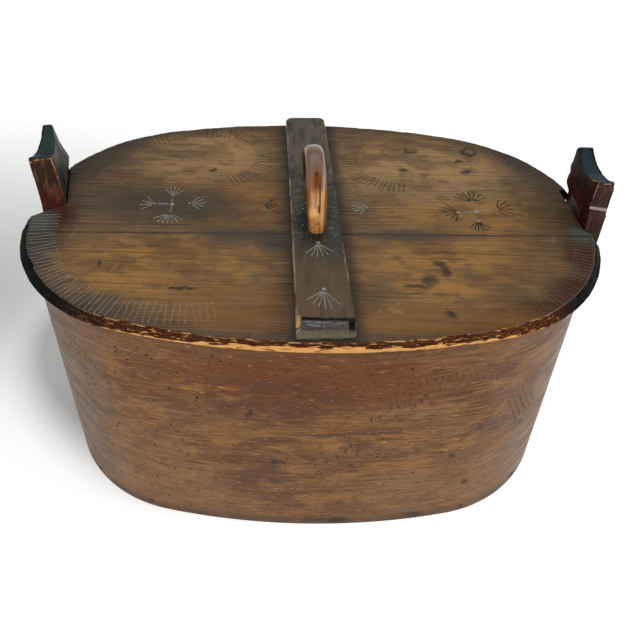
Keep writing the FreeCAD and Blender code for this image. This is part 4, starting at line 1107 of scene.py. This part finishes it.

# %% [markdown]
# ## The posts
#
# A post is split from straight wood, so its grain runs up it. Each face has aged its own way. The
# inner face is nearly black with oil, the front is mottled red-brown, and the hollow saddle on
# top, where the hand pulls, is dark with oil under a painted blue-grey sheen of reflected light.
# Only the arris next to the lid is rubbed bare; glints at the front corners of the top are painted.
# Each post stores how far its surface looks to the front, up, and to the lid, to steer the glazes.

# %% oiled wood for the posts
def post_finish(name, inner, inner_late, glow, front, mottled, blood, saddle, saddle_sheen, rubbed_wood, seed):
    wood = Wood(name, inner, inner_late, ring=3.6, warp=6, length=120, fibre=0.25, seed=seed,
                ragged=(6, 6))
    lay = wood.lay
    ahead, lidward = wood.past("front", 0.45, 0.75), wood.past("lidward", 0.45, 0.75)
    roof = wood.put("ShaderNodeMath", {0: wood.past("roof", 0.45, 0.75), 1: wood.past("Z", 230, 236)},
                    operation="MULTIPLY")
    lay(mottled, 0.4, lidward, ("Z", 216, 240), (30, 8, 0.42, 0.66))
    lay(glow, 0.75, ("front", 0.6, 0.3), ("Z", 244, 226), (40, 9, 0.25, 0.5))
    lay("#191310", 0.6, lidward, ("here", 34, 9, 0.5, 0.7))
    lay(front, 0.95, ahead)
    lay(mottled, 0.75, ahead, (18, 4, 0.42, 0.6))
    lay("#34201a", 0.7, ahead, (12, 3, 0.52, 0.68))
    lay(blood, 0.8, ahead, ("Z", 230, 216), (24, 6, 0.35, 0.55))
    # the saddle is dark with oil; its blue-grey tint and paler front are painted sheen of reflected light
    lay(saddle, 0.95, roof)
    lay(saddle_sheen, 0.6, roof, ("Y", 24, 4), ("here", 10, 6, 0.3, 0.6))
    # grime and painted shade in the nooks
    lay("#1d1310", 0.75, ("nook", 0.1, 0.6))
    edge = wood.past("arris", 0.15, 0.6)
    lay("#0d0a09", 0.85, edge, ("lidward", 0.1, -0.2))
    lay("#0f1111", 0.85, edge, ("front", 0.2, 0.5), ("roof", 0.2, 0.5))
    lay(rubbed_wood, 0.85, ("front", 0.35, 0.6), ("lidward", 0.3, 0.55), ("roof", 0.35, 0.1),
        ("Z", 228, 236), (7, 4, 0.38, 0.54, 5.0))
    # painted highlights: glints on the arris at the front corners of the top
    lay("#c08f66", 0.8, ("Z", 246, 248.5), ("roof", 0.6, 0.4), edge, ("front", 0.4, 0.7),
        ("here", 4.5, 4.5, 0.5, 0.6))
    lay("#c99b6c", 0.85, ("lidward", 0.15, 0.45), ("roof", 0.3, 0.6), ("Y", 7, -2), (6, 4, 0.36, 0.5, 5.0))
    return wood.done(0.4, 0.6, bump=0.04, shine=0.14)


def thicken(post):
    """The top of the right post is worn the least, and is thicker than its middle, most at the back."""
    places = per_vertex(post.data)
    bins = np.round(places[:, 2] / (2 * MM)).astype(int)
    outer = np.full(bins.max() + 1, -1.0)
    np.maximum.at(outer, bins, places[:, 0])
    known = np.flatnonzero(outer > 0)
    outer = np.polyval(np.polyfit(known, outer[known], 3), np.arange(len(outer)))
    low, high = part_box("right_post")
    rise = np.clip((places[:, 2] / MM - 214) / 22, 0, 1)
    back = np.clip((places[:, 1] - low.y) / (high.y - low.y), 0, 1)
    share = np.clip((outer[bins] - places[:, 0]) / (9 * MM), 0, 1)
    places[:, 0] -= rise * share * (2.0 + 3.4 * back) * MM
    move(post, places)


# %% both posts
POST_COLOURS = {
    # inner face and its late wood, glow, front, mottles, low stain, saddle, painted saddle sheen,
    # rubbed arris, seed
    "left": ("#464844", "#33332d", "#33302a", "#361f16", "#6e4a35", "#54190c", "#2f3b3c", "#4c585b",
             "#b98a5e", 50),
    "right": ("#35160d", "#1c0c08", "#4a150b", "#33201a", "#55392d", "#2f120c", "#26353c", "#43565e",
              "#a87a5c", 51)}
for side_name, colours in POST_COLOURS.items():
    on_right = side_name == "right"
    finish = post_finish(f"oiled_wood_{side_name}_post", *colours)
    post = carved(f"{side_name}_post", 1.0, 0.12, finish)
    if on_right:
        thicken(post)
    normals = per_vertex(post.data, "normal")
    for name, way in (("front", (0, -1, 0)), ("roof", (0, 0, 1)), ("lidward", (-1 if on_right else 1, 0, 0))):
        store(post.data, name, normals @ np.array(way, float))
    if on_right:
        # a knock has left a groove straight across the front; it is coloured pale, a painted highlight where
        # its lower lip catches the light
        lip_highlight = plain_finish("pale_nick_highlight", "#a8968a", 0.6)
        place = Vector((0.2165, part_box("right_post")[0].y - 0.0006, 0.2305))
        cut_away([post], [round_bar("nick", place, 1.5 * MM, 40 * MM, (1, 0, -0.14), lip_highlight)])
    grain_by(post, (0, 0, 1), (0, 1, 0), (1, 0, 0))
    smooth_shaded(post)
    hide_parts(f"{side_name}_post")
    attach(post, f"{side_name}_post")
    print(post.name, "faces", len(post.data.polygons))

# %% [markdown]
# ## The batten and its ornament
#
# The batten across the lid holds both boards and carries the handle. It is the darkest piece:
# grey-black with oil and smoke, worn pale along its upper arrises. Fans and small ring stamps
# surround the handle's foot, and its front end is broken.

# %% smoke-dark batten
def batten_finish():
    wood = Wood("smoked_batten", "#544b3c", "#3a3227", ring=3.0, warp=4, length=170, fibre=0.28, seed=71,
                ragged=(6, 6))
    lay = wood.lay
    lay("#6b6154", 0.75, ("Y", 10, 90), (60, 16, 0.2, 0.6))
    lay("#2d271d", 0.5, (16, 5, 0.5, 0.62, 6.0))
    lay("#7b6f5c", 0.4, (9, 1.6, 0.6, 0.7, 4.0))
    lay("#2b291f", 0.75, ([(3, -20, 17, 46, 4), (2, 40, 9, 30, 4)], 0.5))
    lay("#3d4436", 0.5, ([(-6, 50, 6, 24, 4), (14, -30, 6, 34, 4), (-14, 10, 4, 20, 4)], 0.6))
    lay("#15140f", 0.8, ([(15, -75, 5, 6, 0), (1, -44, 6, 5, 0), (-9, -22, 5, 12, 4)], 0.6))
    lay("#654a2c", 0.8, ("Y", -58, -84), (24, 8, 0.28, 0.52))
    # grime and painted shade in the nooks
    lay("#1c1712", 0.8, ("nook", 0.1, 0.6))
    # the arrises are worn pale, on the left nearly all along, on the right only here and there
    lay("#b19c7c", 0.8, ("arris", 0.42, 0.75), ("X", 2, -8), (24, 3, 0.4, 0.56, 6.0))
    lay("#9a8c74", 0.7, ("arris", 0.4, 0.8), ("X", 2, 10), (20, 4, 0.5, 0.6, 5.0))
    # crumbs of wax and dust that polishing never reached, round the handle's foot
    lay("#8d9484", 0.75, ([(0, -16, 20, 32, 4), (2, 34, 17, 26, 4)], 0.5),
        ("here", 2.6, 1.8, 0.62, 0.67, 3.0))
    # the front end: bare at its left corner, dusty olive on the face below the break
    lay("#5a5644", 0.8, ("Y", -137, -139))
    lay("#1b1712", 0.85, ("Y", -134.5, -136.5), ("Z", 217.2, 218.4))
    lay("#cda06a", 0.9, ("Y", -127, -130), ("X", -7, -9), ("Z", 217, 219), (9, 4, 0.36, 0.46))
    return wood.done(0.32, 0.52, bump=0.03, shine=0.35)


def split_finish():
    """Split wood polished by the hands, with painted sheen in blue-grey streaks and painted shade at the back
    of the step.
    """
    wood = Wood("greyed_split_wood", "#56504c", "#3a3532", ring=1.4, warp=1, length=14, fibre=0.3,
                seed=77, ragged=(2, 2))
    # painted sheen: blue-grey streaks where the split face reflects the light
    wood.lay("#84858a", 0.75, ("here", 16, 1.6, 0.5, 0.6))
    # painted shade: a dark strip at the back of the step
    wood.lay("#15100d", 0.9, ("Y", -131.5, -130.2))
    wood.lay("#241a14", 0.85, ("here", 9, 1.3, 0.56, 0.64))
    return wood.done(0.2, 0.4, bump=0.06, shine=0.5)


# %% the worn batten
batten = carved("lid_batten", 1.0, 0.12, batten_finish())
BATTEN_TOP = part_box("lid_batten")[1].z
places = per_vertex(batten.data)
x, y, z = places.T
end = np.clip((-y / MM - 133) / 5, 0, 1) * np.clip((z - BATTEN_TOP) / MM / 5 + 1, 0, 1)
ragged = np.clip(0.5 + ripple(places * (1, 0.3, 0.3), 3.2 * MM, 17, 3), 0, 1.4)
y += end * 1.0 * ragged * MM
z -= end * 0.7 * ragged * MM
move(batten, places)
print("batten vertices", len(places))

# %% the batten's broken end and its stamps
BATTEN_FANS = [
    ((3.7, -51.2), [(-5, -63), (-1, -66), (3, -67), (7, -66), (11, -64.5), (15, -61)], pale_wax_and_highlight),
    ((7.5, -103), [(-4, -113), (0, -117), (4, -120), (8.5, -122), (13, -121), (18, -117)], pale_wax_and_highlight),
    ((-7, 118), [(-17, 124), (-12, 127), (-7, 128), (-2, 127), (2, 124)], dull_wax)]


def broken_step(name, x0, x1, back, deep, dip, finish):
    """A tool that splits a step off the batten's front end, ragged along its back and its floor."""
    work = bmesh.new()
    bmesh.ops.create_grid(work, x_segments=44, y_segments=16, size=0.5)
    for vertex in work.verts:
        u, v = vertex.co.x + 0.5, vertex.co.y + 0.5
        x = x0 + (x1 - x0) * u
        rough = noise.fractal(Vector((x * 0.35, v * 2.2, deep)), 1.0, 2.0, 3)
        line = back + 0.9 * noise.fractal(Vector((x * 0.45, 7.0, back)), 1.0, 2.0, 4)
        floor = BATTEN_TOP / MM - deep - dip * (1 - v) + 0.35 * rough
        vertex.co = Vector((x, -144 + (line + 144) * v, floor)) * MM
    lifted = bmesh.ops.extrude_face_region(work, geom=work.faces[:])["geom"]
    for vertex in lifted:
        if isinstance(vertex, bmesh.types.BMVert):
            vertex.co.z = BATTEN_TOP + 4 * MM
    bmesh.ops.recalc_face_normals(work, faces=work.faces[:])
    return solid(name, work, finish)


# the broken step shows split wood; the hollow beside it is full of soot
tools = [broken_step("step", -7.0, 24.0, -129.8, 1.7, 2.6, split_finish()),
         broken_step("hollow", 23.4, 27.6, -129.4, 5.0, 0.6, old_dirt)]
tools += ray_tools("batten_fans", BATTEN_FANS, BATTEN_TOP, 0.85, 1.4)
tools += [dot("hub", x, y, BATTEN_TOP, 1.7, pale_wax_and_highlight) for x, y in ((3.7, -50), (7.5, -101.5))]
RINGS = [(-13, -14), (-12, -22), (-13.5, -30), (-10, -37), (15, -16), (14, -24), (13, -32), (16, -38),
         (-12, 18), (-9, 27), (12, 14), (14, 24), (-5, 52), (-13, 8), (17, -8)]
dots = []
for number, (x, y) in enumerate(RINGS):
    for turn in (math.radians(60 * k + 25 * number) for k in range(6)):
        place = ((x + 1.7 * math.cos(turn)) * MM, (y + 1.7 * math.sin(turn)) * MM, BATTEN_TOP)
        dots.append((place, (0, 0, 1)))
tools.append(loose_pits("ring_stamps", dots, 0.42, 0.45, pale_wax_and_highlight, 0.7, 1.2, 31))
cut_away([batten], tools)
grain_by(batten, (0.063, 0.998, 0), (0.998, -0.063, 0))
smooth_shaded(batten)
print("batten triangles", triangles(batten))

# %% [markdown]
# ## The handle
#
# The handle is a naturally grown crook: a branch that bent by itself, so its fibres follow the
# arch. Its front leg is polished to a bright orange by hands, the crown has gone grey, and dry
# cracks run along it. The leg's highlights and the light rim of the crown are painted, and so is
# the shade on the rear leg under the arch.

# %% polished crook
def handle_finish():
    wood = Wood("polished_crook", "#b3702f", "#8a4f1e", ring=2.4, warp=3, length=50, fibre=0.2, seed=90,
                ragged=(4, 4))
    lay = wood.lay
    leg = wood.past("Z", 256, 250)
    lay("#cf9358", 0.8, ("X", -4, -1.5), ("X", 8, 6), leg, (26, 2.4, 0.3, 0.55))
    # painted highlights: a light strip right of the crack, and a bright spot low on the leg
    lay("#deaa6c", 0.6, leg, ("X", 3.8, 5.6), ("X", 8.2, 6.2), ("Z", 222, 236))
    lay("#f2bb70", 0.9, ([(-0.5, -36, 3.4, 2.6, 0)], 0.7), ("Z", 233, 237), ("Z", 243, 240))
    lay("#7d571c", 0.7, leg, ("X", 6.8, 9))
    lay("#74501f", 0.65, leg, ("X", -2.6, -5))
    lay("#8a3f12", 0.6, ("Z", 234, 224), (10, 2, 0.48, 0.62))
    lay("#6a3a18", 0.85, ("Z", 249, 255), ("Z", 264, 258), ("X", -3.5, 0.5), (16, 4, 0.25, 0.5))
    lay("#7b6354", 0.92, ("Z", 256.5, 261), ("Y", -22, -12))
    lay("#8c7059", 0.7, ("Z", 248, 256), ("X", 1, -3))
    # painted highlights: a light rim along the crown's right side and at its back
    lay("#b9a797", 0.6, ("Z", 250, 258), ("X", 5.4, 7.2))
    lay("#b9a797", 0.6, ("Y", 3, 12), ("Z", 258, 262))
    dark = [(1.8, -18.5, 1.5, 1.7, 0), (3.0, -35.3, 1.5, 0.7, 0), (3.0, -38.2, 1.2, 0.4, 0)]
    lay("#5b2f14", 0.75, (dark, 0.6), ("Z", 228, 229.5))
    # grime and painted shade in the nooks
    lay("#2a1009", 0.85, ("nook", 0.15, 0.6))
    # painted shade on the rear half below the crown, under the arch
    lay("#35180e", 0.85, ("Y", 2, 12), ("Z", 260, 252))
    return wood.done(0.2, 0.36, bump=0.02, shine=0.4)


def rounded_along(along, *sizes):
    """How far points lie from a bent bar's middle line, sideways and in depth, with its half sizes."""
    part = ((along - along.min()) / 2.5).astype(int)
    for axis in sizes:
        low, high = np.full(part.max() + 1, 1e9), np.full(part.max() + 1, -1e9)
        np.minimum.at(low, part, axis)
        np.maximum.at(high, part, axis)
        low, high = (np.convolve(np.pad(v, 2, "edge"), np.ones(5) / 5, "valid") for v in (low, high))
        yield axis - (low + high)[part] / 2, np.maximum((high - low)[part] / 2, 1)


# %% a rounder section, grain along the arch, and cracks
# the grip is half a ring on two straight legs: its centre in Y and Z, and its middle radius, in mm
GRIP_Y, GRIP_Z, GRIP_RADIUS = 2.8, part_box("handle")[1].z / MM - 41.6, 36.6
handle = carved("handle", 0.7, 0.16, handle_finish(), soften=40, swell=0.55)
places = per_vertex(handle.data) / MM
x, y, z = places[:, 0], places[:, 1] - GRIP_Y, places[:, 2] - GRIP_Z
arch, bend = z > 0, np.arctan2(z, y)
rise = np.where(arch, np.hypot(z, y), np.abs(y))
along = np.where(arch, bend * GRIP_RADIUS,
                 np.where(y > 0, z, math.pi * GRIP_RADIUS - places[:, 2] + GRIP_Z))
(aside, wide), (over, deep) = rounded_along(along, x, rise)
keep = 0.3 + 0.7 / np.maximum(np.hypot(aside / wide, over / deep), 0.3)
shift = over * (keep - 1)
move(handle, (places + np.stack([aside * (keep - 1), np.where(arch, np.cos(bend), np.sign(y)) * shift,
                                 np.where(arch, np.sin(bend), 0) * shift], 1)) * MM)
store(handle.data, "grain", np.stack([along, x, rise + shift], 1) * MM)
# drying has opened a long crack down the front leg, and a short one on the crown
paths = [[(4.0, -24.6, 254.9), (4.3, -26.5, 253.0), (4.2, -28.4, 251.0), (4.0, -31.6, 247.0),
          (4.3, -33.0, 244.8), (4.2, -34.2, 242.4), (4.3, -35.0, 240.4), (4.1, -35.9, 238.2)],
         [(1.9, -17.0, 260.2), (1.5, -18.8, 259.1), (1.9, -20.6, 257.9)]]
paths = [[tuple(handle.closest_point_on_mesh(Vector(p) * MM)[1] / MM) for p in path] for path in paths]
black_gap = plain_finish("crack_shadow", "#5a3219", 0.6)
cracks = run_tree(path_mesh("cracks", paths), ray_tree, Width=1.0 * MM, Tip=0.6, Finish=black_gap)
cut_away([handle], [cracks])
smooth_shaded(handle)
print("handle faces", len(handle.data.polygons))

# %% [markdown]
# ## Root lacing
#
# The lapped ends are sewn with split root, a flat band a few millimetres wide. Each stitch goes
# through one slot, runs down the outside and goes back in below. A tree sweeps a flat oval along
# each loop; where the loop enters the wall it goes on inside the wood, out of sight.

# %% laced loops
loop_tree, put, given = shape_tree("root_loops", {"Width": 3.4 * MM, "Thickness": 1.3 * MM})
line = put("GeometryNodeMeshToCurve", {0: given["Geometry"]})
line = put("GeometryNodeCurveSplineType", {"Curve": line}, spline_type="CATMULL_ROM")
line = put("GeometryNodeResampleCurve", {"Curve": line, "Count": 30})
line = put("GeometryNodeSetCurveNormal", {"Curve": line}, mode="MINIMUM_TWIST")
ring = put("GeometryNodeCurvePrimitiveCircle", {"Resolution": 14, "Radius": 0.5})
shape = put("ShaderNodeCombineXYZ", {0: given["Thickness"], 1: given["Width"], 2: 1.0})
ring = put("GeometryNodeTransform", {"Geometry": ring, "Scale": shape})
close_tree(put, given, put("GeometryNodeCurveToMesh", {"Curve": line, "Profile Curve": ring,
                                                       "Fill Caps": True}))
root = Wood("split_root", "#8a6a45", "#6a4c30", ring=0.8, warp=0.4, length=40, fibre=0.25, seed=110,
            fibres=(0, math.pi / 2, 0), ragged=(3, 2))
root.lay("#3f2d1e", 0.6, (6, 3, 0.45, 0.65))
# %% the stitches
# half a stitch, from inside the wall to its middle: share of the lean, depth and height in mm
HALF = [(1, -7.6, 5.0), (1, -3.0, 6.2), (1, -0.95, 5.3), (0.6, -0.55, 2.6), (0, -0.5, 0)]
STITCH = HALF + [(-share, depth, -height) for share, depth, height in HALF[-2::-1]]
FIRST, PITCH, ROWS = 26, 19, 9  # height of the lowest stitch, from stitch to stitch, how many
surface = (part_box("seam_lacing")[1].y - 0.2 * MM) / MM
lines = []
chance = random.Random(3)
for x in (-23.0, 23.0):
    for row in range(ROWS):
        lean = chance.uniform(-0.6, 0.6)
        lines.append([(x + lean * share, surface + depth, FIRST + PITCH * row + height)
                      for share, depth, height in STITCH])
lacing = run_tree(path_mesh("root_lacing", lines), loop_tree, Width=3.4 * MM, Thickness=1.3 * MM,
                  Finish=root.done(0.4, 0.55))
smooth_shaded(lacing)
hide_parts("seam_lacing")
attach(lacing, "box")
print("lacing faces", len(lacing.data.polygons))

# %% [markdown]
# ## Pegs, wedges, dowels and the bottom
#
# The pegs are whittled from hard wood and driven in. Their shapes are right in CAD; each gets a
# small worn arris. The bottom board and the hidden dowels keep their CAD meshes and only get wood.

# %% small wooden fixings
peg_wood = Wood("whittled_peg", "#4a3524", "#3a281b", ring=1.2, warp=0.5, length=20, fibre=0.25, seed=120,
                fibres=(0, 0, math.pi / 2), ragged=(3, 2))
peg_wood.lay("#6a4a30", 0.5, (5, 3, 0.45, 0.6))
peg_wood = peg_wood.done(0.45, 0.6)
for node, body in (("bottom_pegs", "box"), ("batten_pegs", "lid"), ("handle_wedges", "lid"),
                   ("left_post_pegs", "left_post"), ("right_post_pegs", "right_post")):
    piece = solid(node + "_worn", from_cad(node))
    work = piece.modifiers.new("worn_arris", "BEVEL")
    work.width = 0.3 * MM
    work.segments = 2
    work.limit_method = "ANGLE"
    work.angle_limit = math.radians(40)
    mesh = baked(piece)
    mesh.materials.clear()
    mesh.materials.append(peg_wood)
    smooth_shaded(piece)
    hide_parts(node)
    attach(piece, body)
    print(piece.name, "triangles", triangles(piece))

bottom = Wood("raw_pine_bottom", "#8b6f52", "#6f553c", ring=6, warp=12, length=320, fibre=0.2, seed=130,
              fibres=(0, 0, 0))
bottom.lay("#57452f", 0.5, (60, 30, 0.4, 0.7))
for node, finish in (("bottom_board", bottom.done(0.55, 0.7)), ("lid_dowels", peg_wood)):
    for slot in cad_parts[node].material_slots:
        slot.material = finish

# %% [markdown]
# ## Joining the pieces to their bodies
#
# Each new piece stands for one or more CAD nodes and rides on the body it belongs to, so the lid
# lifts with its batten and handle, and each post flexes with its pegs.

# %% riding on the frame
for piece, node, body, name in ((side, "side_band", "box", "side_wood"),
                                (rear_board, "lid_rear_board", "lid", "lid_wood"),
                                (front_board, "lid_front_board", "lid", "lid_wood"),
                                (batten, "lid_batten", "lid", "batten_wood"),
                                (handle, "handle", "lid", "handle_wood")):
    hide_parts(node)
    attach(piece, body)

# %% [markdown]
# ## Floor and light
#
# The floor is a pale studio sheet. To the camera it also glows a little, so that it comes out
# white where no shadow falls, while the light it gives the object stays that of plain paper. On
# the left its glow is lowered: a painted shade, and a painted shadow by the wall.
# A large soft box above and behind gives the lid its sheen, and a wider one in front fills the wall.

# %% floor
paper = bpy.data.materials.new("matt_paper_floor")
paper.use_nodes = True
paper.node_tree.nodes.clear()
put = functools.partial(add, paper.node_tree)
matt = put("ShaderNodeBsdfDiffuse", {"Color": linear("#e9e9e8")})
rays = put("ShaderNodeLightPath").node.outputs
seen = put("ShaderNodeMath", {0: rays["Is Camera Ray"], 1: rays["Is Glossy Ray"]}, operation="MAXIMUM")
seen = put("ShaderNodeMath", {0: seen, 1: rays["Is Transmission Ray"]}, operation="MAXIMUM")
# painted shade: to the camera the sheet glows less on the left, so it stays grey there
place = put("ShaderNodeSeparateXYZ", {0: put("ShaderNodeTexCoord", output="Object")}).node.outputs
grey = -0.54
for axis, low, high in ((0, -0.08, -0.36), (1, -0.10, 0.16), (1, 0.65, 0.16)):
    fall = put("ShaderNodeMapRange", {0: place[axis], 1: low, 2: high, 3: 0.0, 4: 1.0},
               interpolation_type="SMOOTHSTEP")
    grey = put("ShaderNodeMath", {0: fall, 1: grey}, operation="MULTIPLY")
# painted shadow: close to the left wall it hardly glows, in a patch shaped like the box's shadow, so
# that the box's own shadow shows there, deepened
near = put("ShaderNodeMapping", {"Vector": put("ShaderNodeTexCoord", output="Object"),
                                 "Location": (-0.02, 0.058, 0), "Scale": (0.318, 0.23, 1)},
           vector_type="TEXTURE")
near = put("ShaderNodeVectorMath", {0: near}, "Value", operation="LENGTH")
near = put("ShaderNodeMapRange", {0: near, 1: 0.912, 2: 0.656, 3: 0.0, 4: -0.69},
           interpolation_type="SMOOTHSTEP")
left = put("ShaderNodeMapRange", {0: place[0], 1: -0.04, 2: -0.16})
level = put("ShaderNodeMath", {0: near, 1: left, 2: grey}, operation="MULTIPLY_ADD")
level = put("ShaderNodeMath", {0: level, 1: 0.6}, operation="ADD")
level = put("ShaderNodeMath", {0: level, 1: 0.0}, operation="MAXIMUM")
glow = put("ShaderNodeMath", {0: seen, 1: level}, operation="MULTIPLY")
glow = put("ShaderNodeEmission", {"Color": (1, 1, 1, 1), "Strength": glow})
put("ShaderNodeOutputMaterial", {0: put("ShaderNodeAddShader", {0: matt, 1: glow})})
work = bmesh.new()
bmesh.ops.create_grid(work, x_segments=8, y_segments=8, size=6.0)
work.transform(Matrix.Translation((0, 0, -0.2 * MM)))
floor = solid("floor", work, paper)
floor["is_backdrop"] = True
print("floor nodes", len(paper.node_tree.nodes))

# %% lights
LAMPS = [
    # name, watts, width, depth, place and aim in metres
    ("rear_top_box", 5, 1.6, 1.0, (-0.2, 1.1, 1.7), (0, 0.05, 0.15)),
    ("front_fill", 30, 1.8, 1.2, (-0.5, -2.0, 1.2), (0, 0, 0.1)),
    ("right_key", 22, 1.2, 1.2, (1.9, -0.1, 1.2), (0, 0, 0.1)),
]
for name, watts, width, depth, place, aim in LAMPS:
    lamp = bpy.data.lights.new(name, "AREA")
    lamp.shape = "RECTANGLE"
    lamp.size, lamp.size_y = width, depth
    lamp.energy = watts
    thing = bpy.data.objects.new(name, lamp)
    thing.location = place
    thing.rotation_euler = (Vector(aim) - Vector(place)).to_track_quat("-Z", "Y").to_euler()
    bpy.context.scene.collection.objects.link(thing)
sky = bpy.data.worlds.new("studio")
sky.use_nodes = True
sky.node_tree.nodes["Background"].inputs["Color"].default_value = (1, 1, 1, 1)
sky.node_tree.nodes["Background"].inputs["Strength"].default_value = 0.18
bpy.context.scene.world = sky
bpy.context.scene.view_settings.view_transform = "Standard"
print("lamps", len(LAMPS))

# %% [markdown]
# ## Closing
#
# The two boxes, of the CAD model and of the finished one, are set side by side, and how much the
# object has grown is printed.

# %% sizes and finish
low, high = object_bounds()
{"cad": [list(cad_low), list(cad_high)], "visual": [list(low), list(high)]}
print("grown by", [round((b - a) * 1000, 2) for a, b in zip((*cad_low, *cad_high), (*low, *high))])
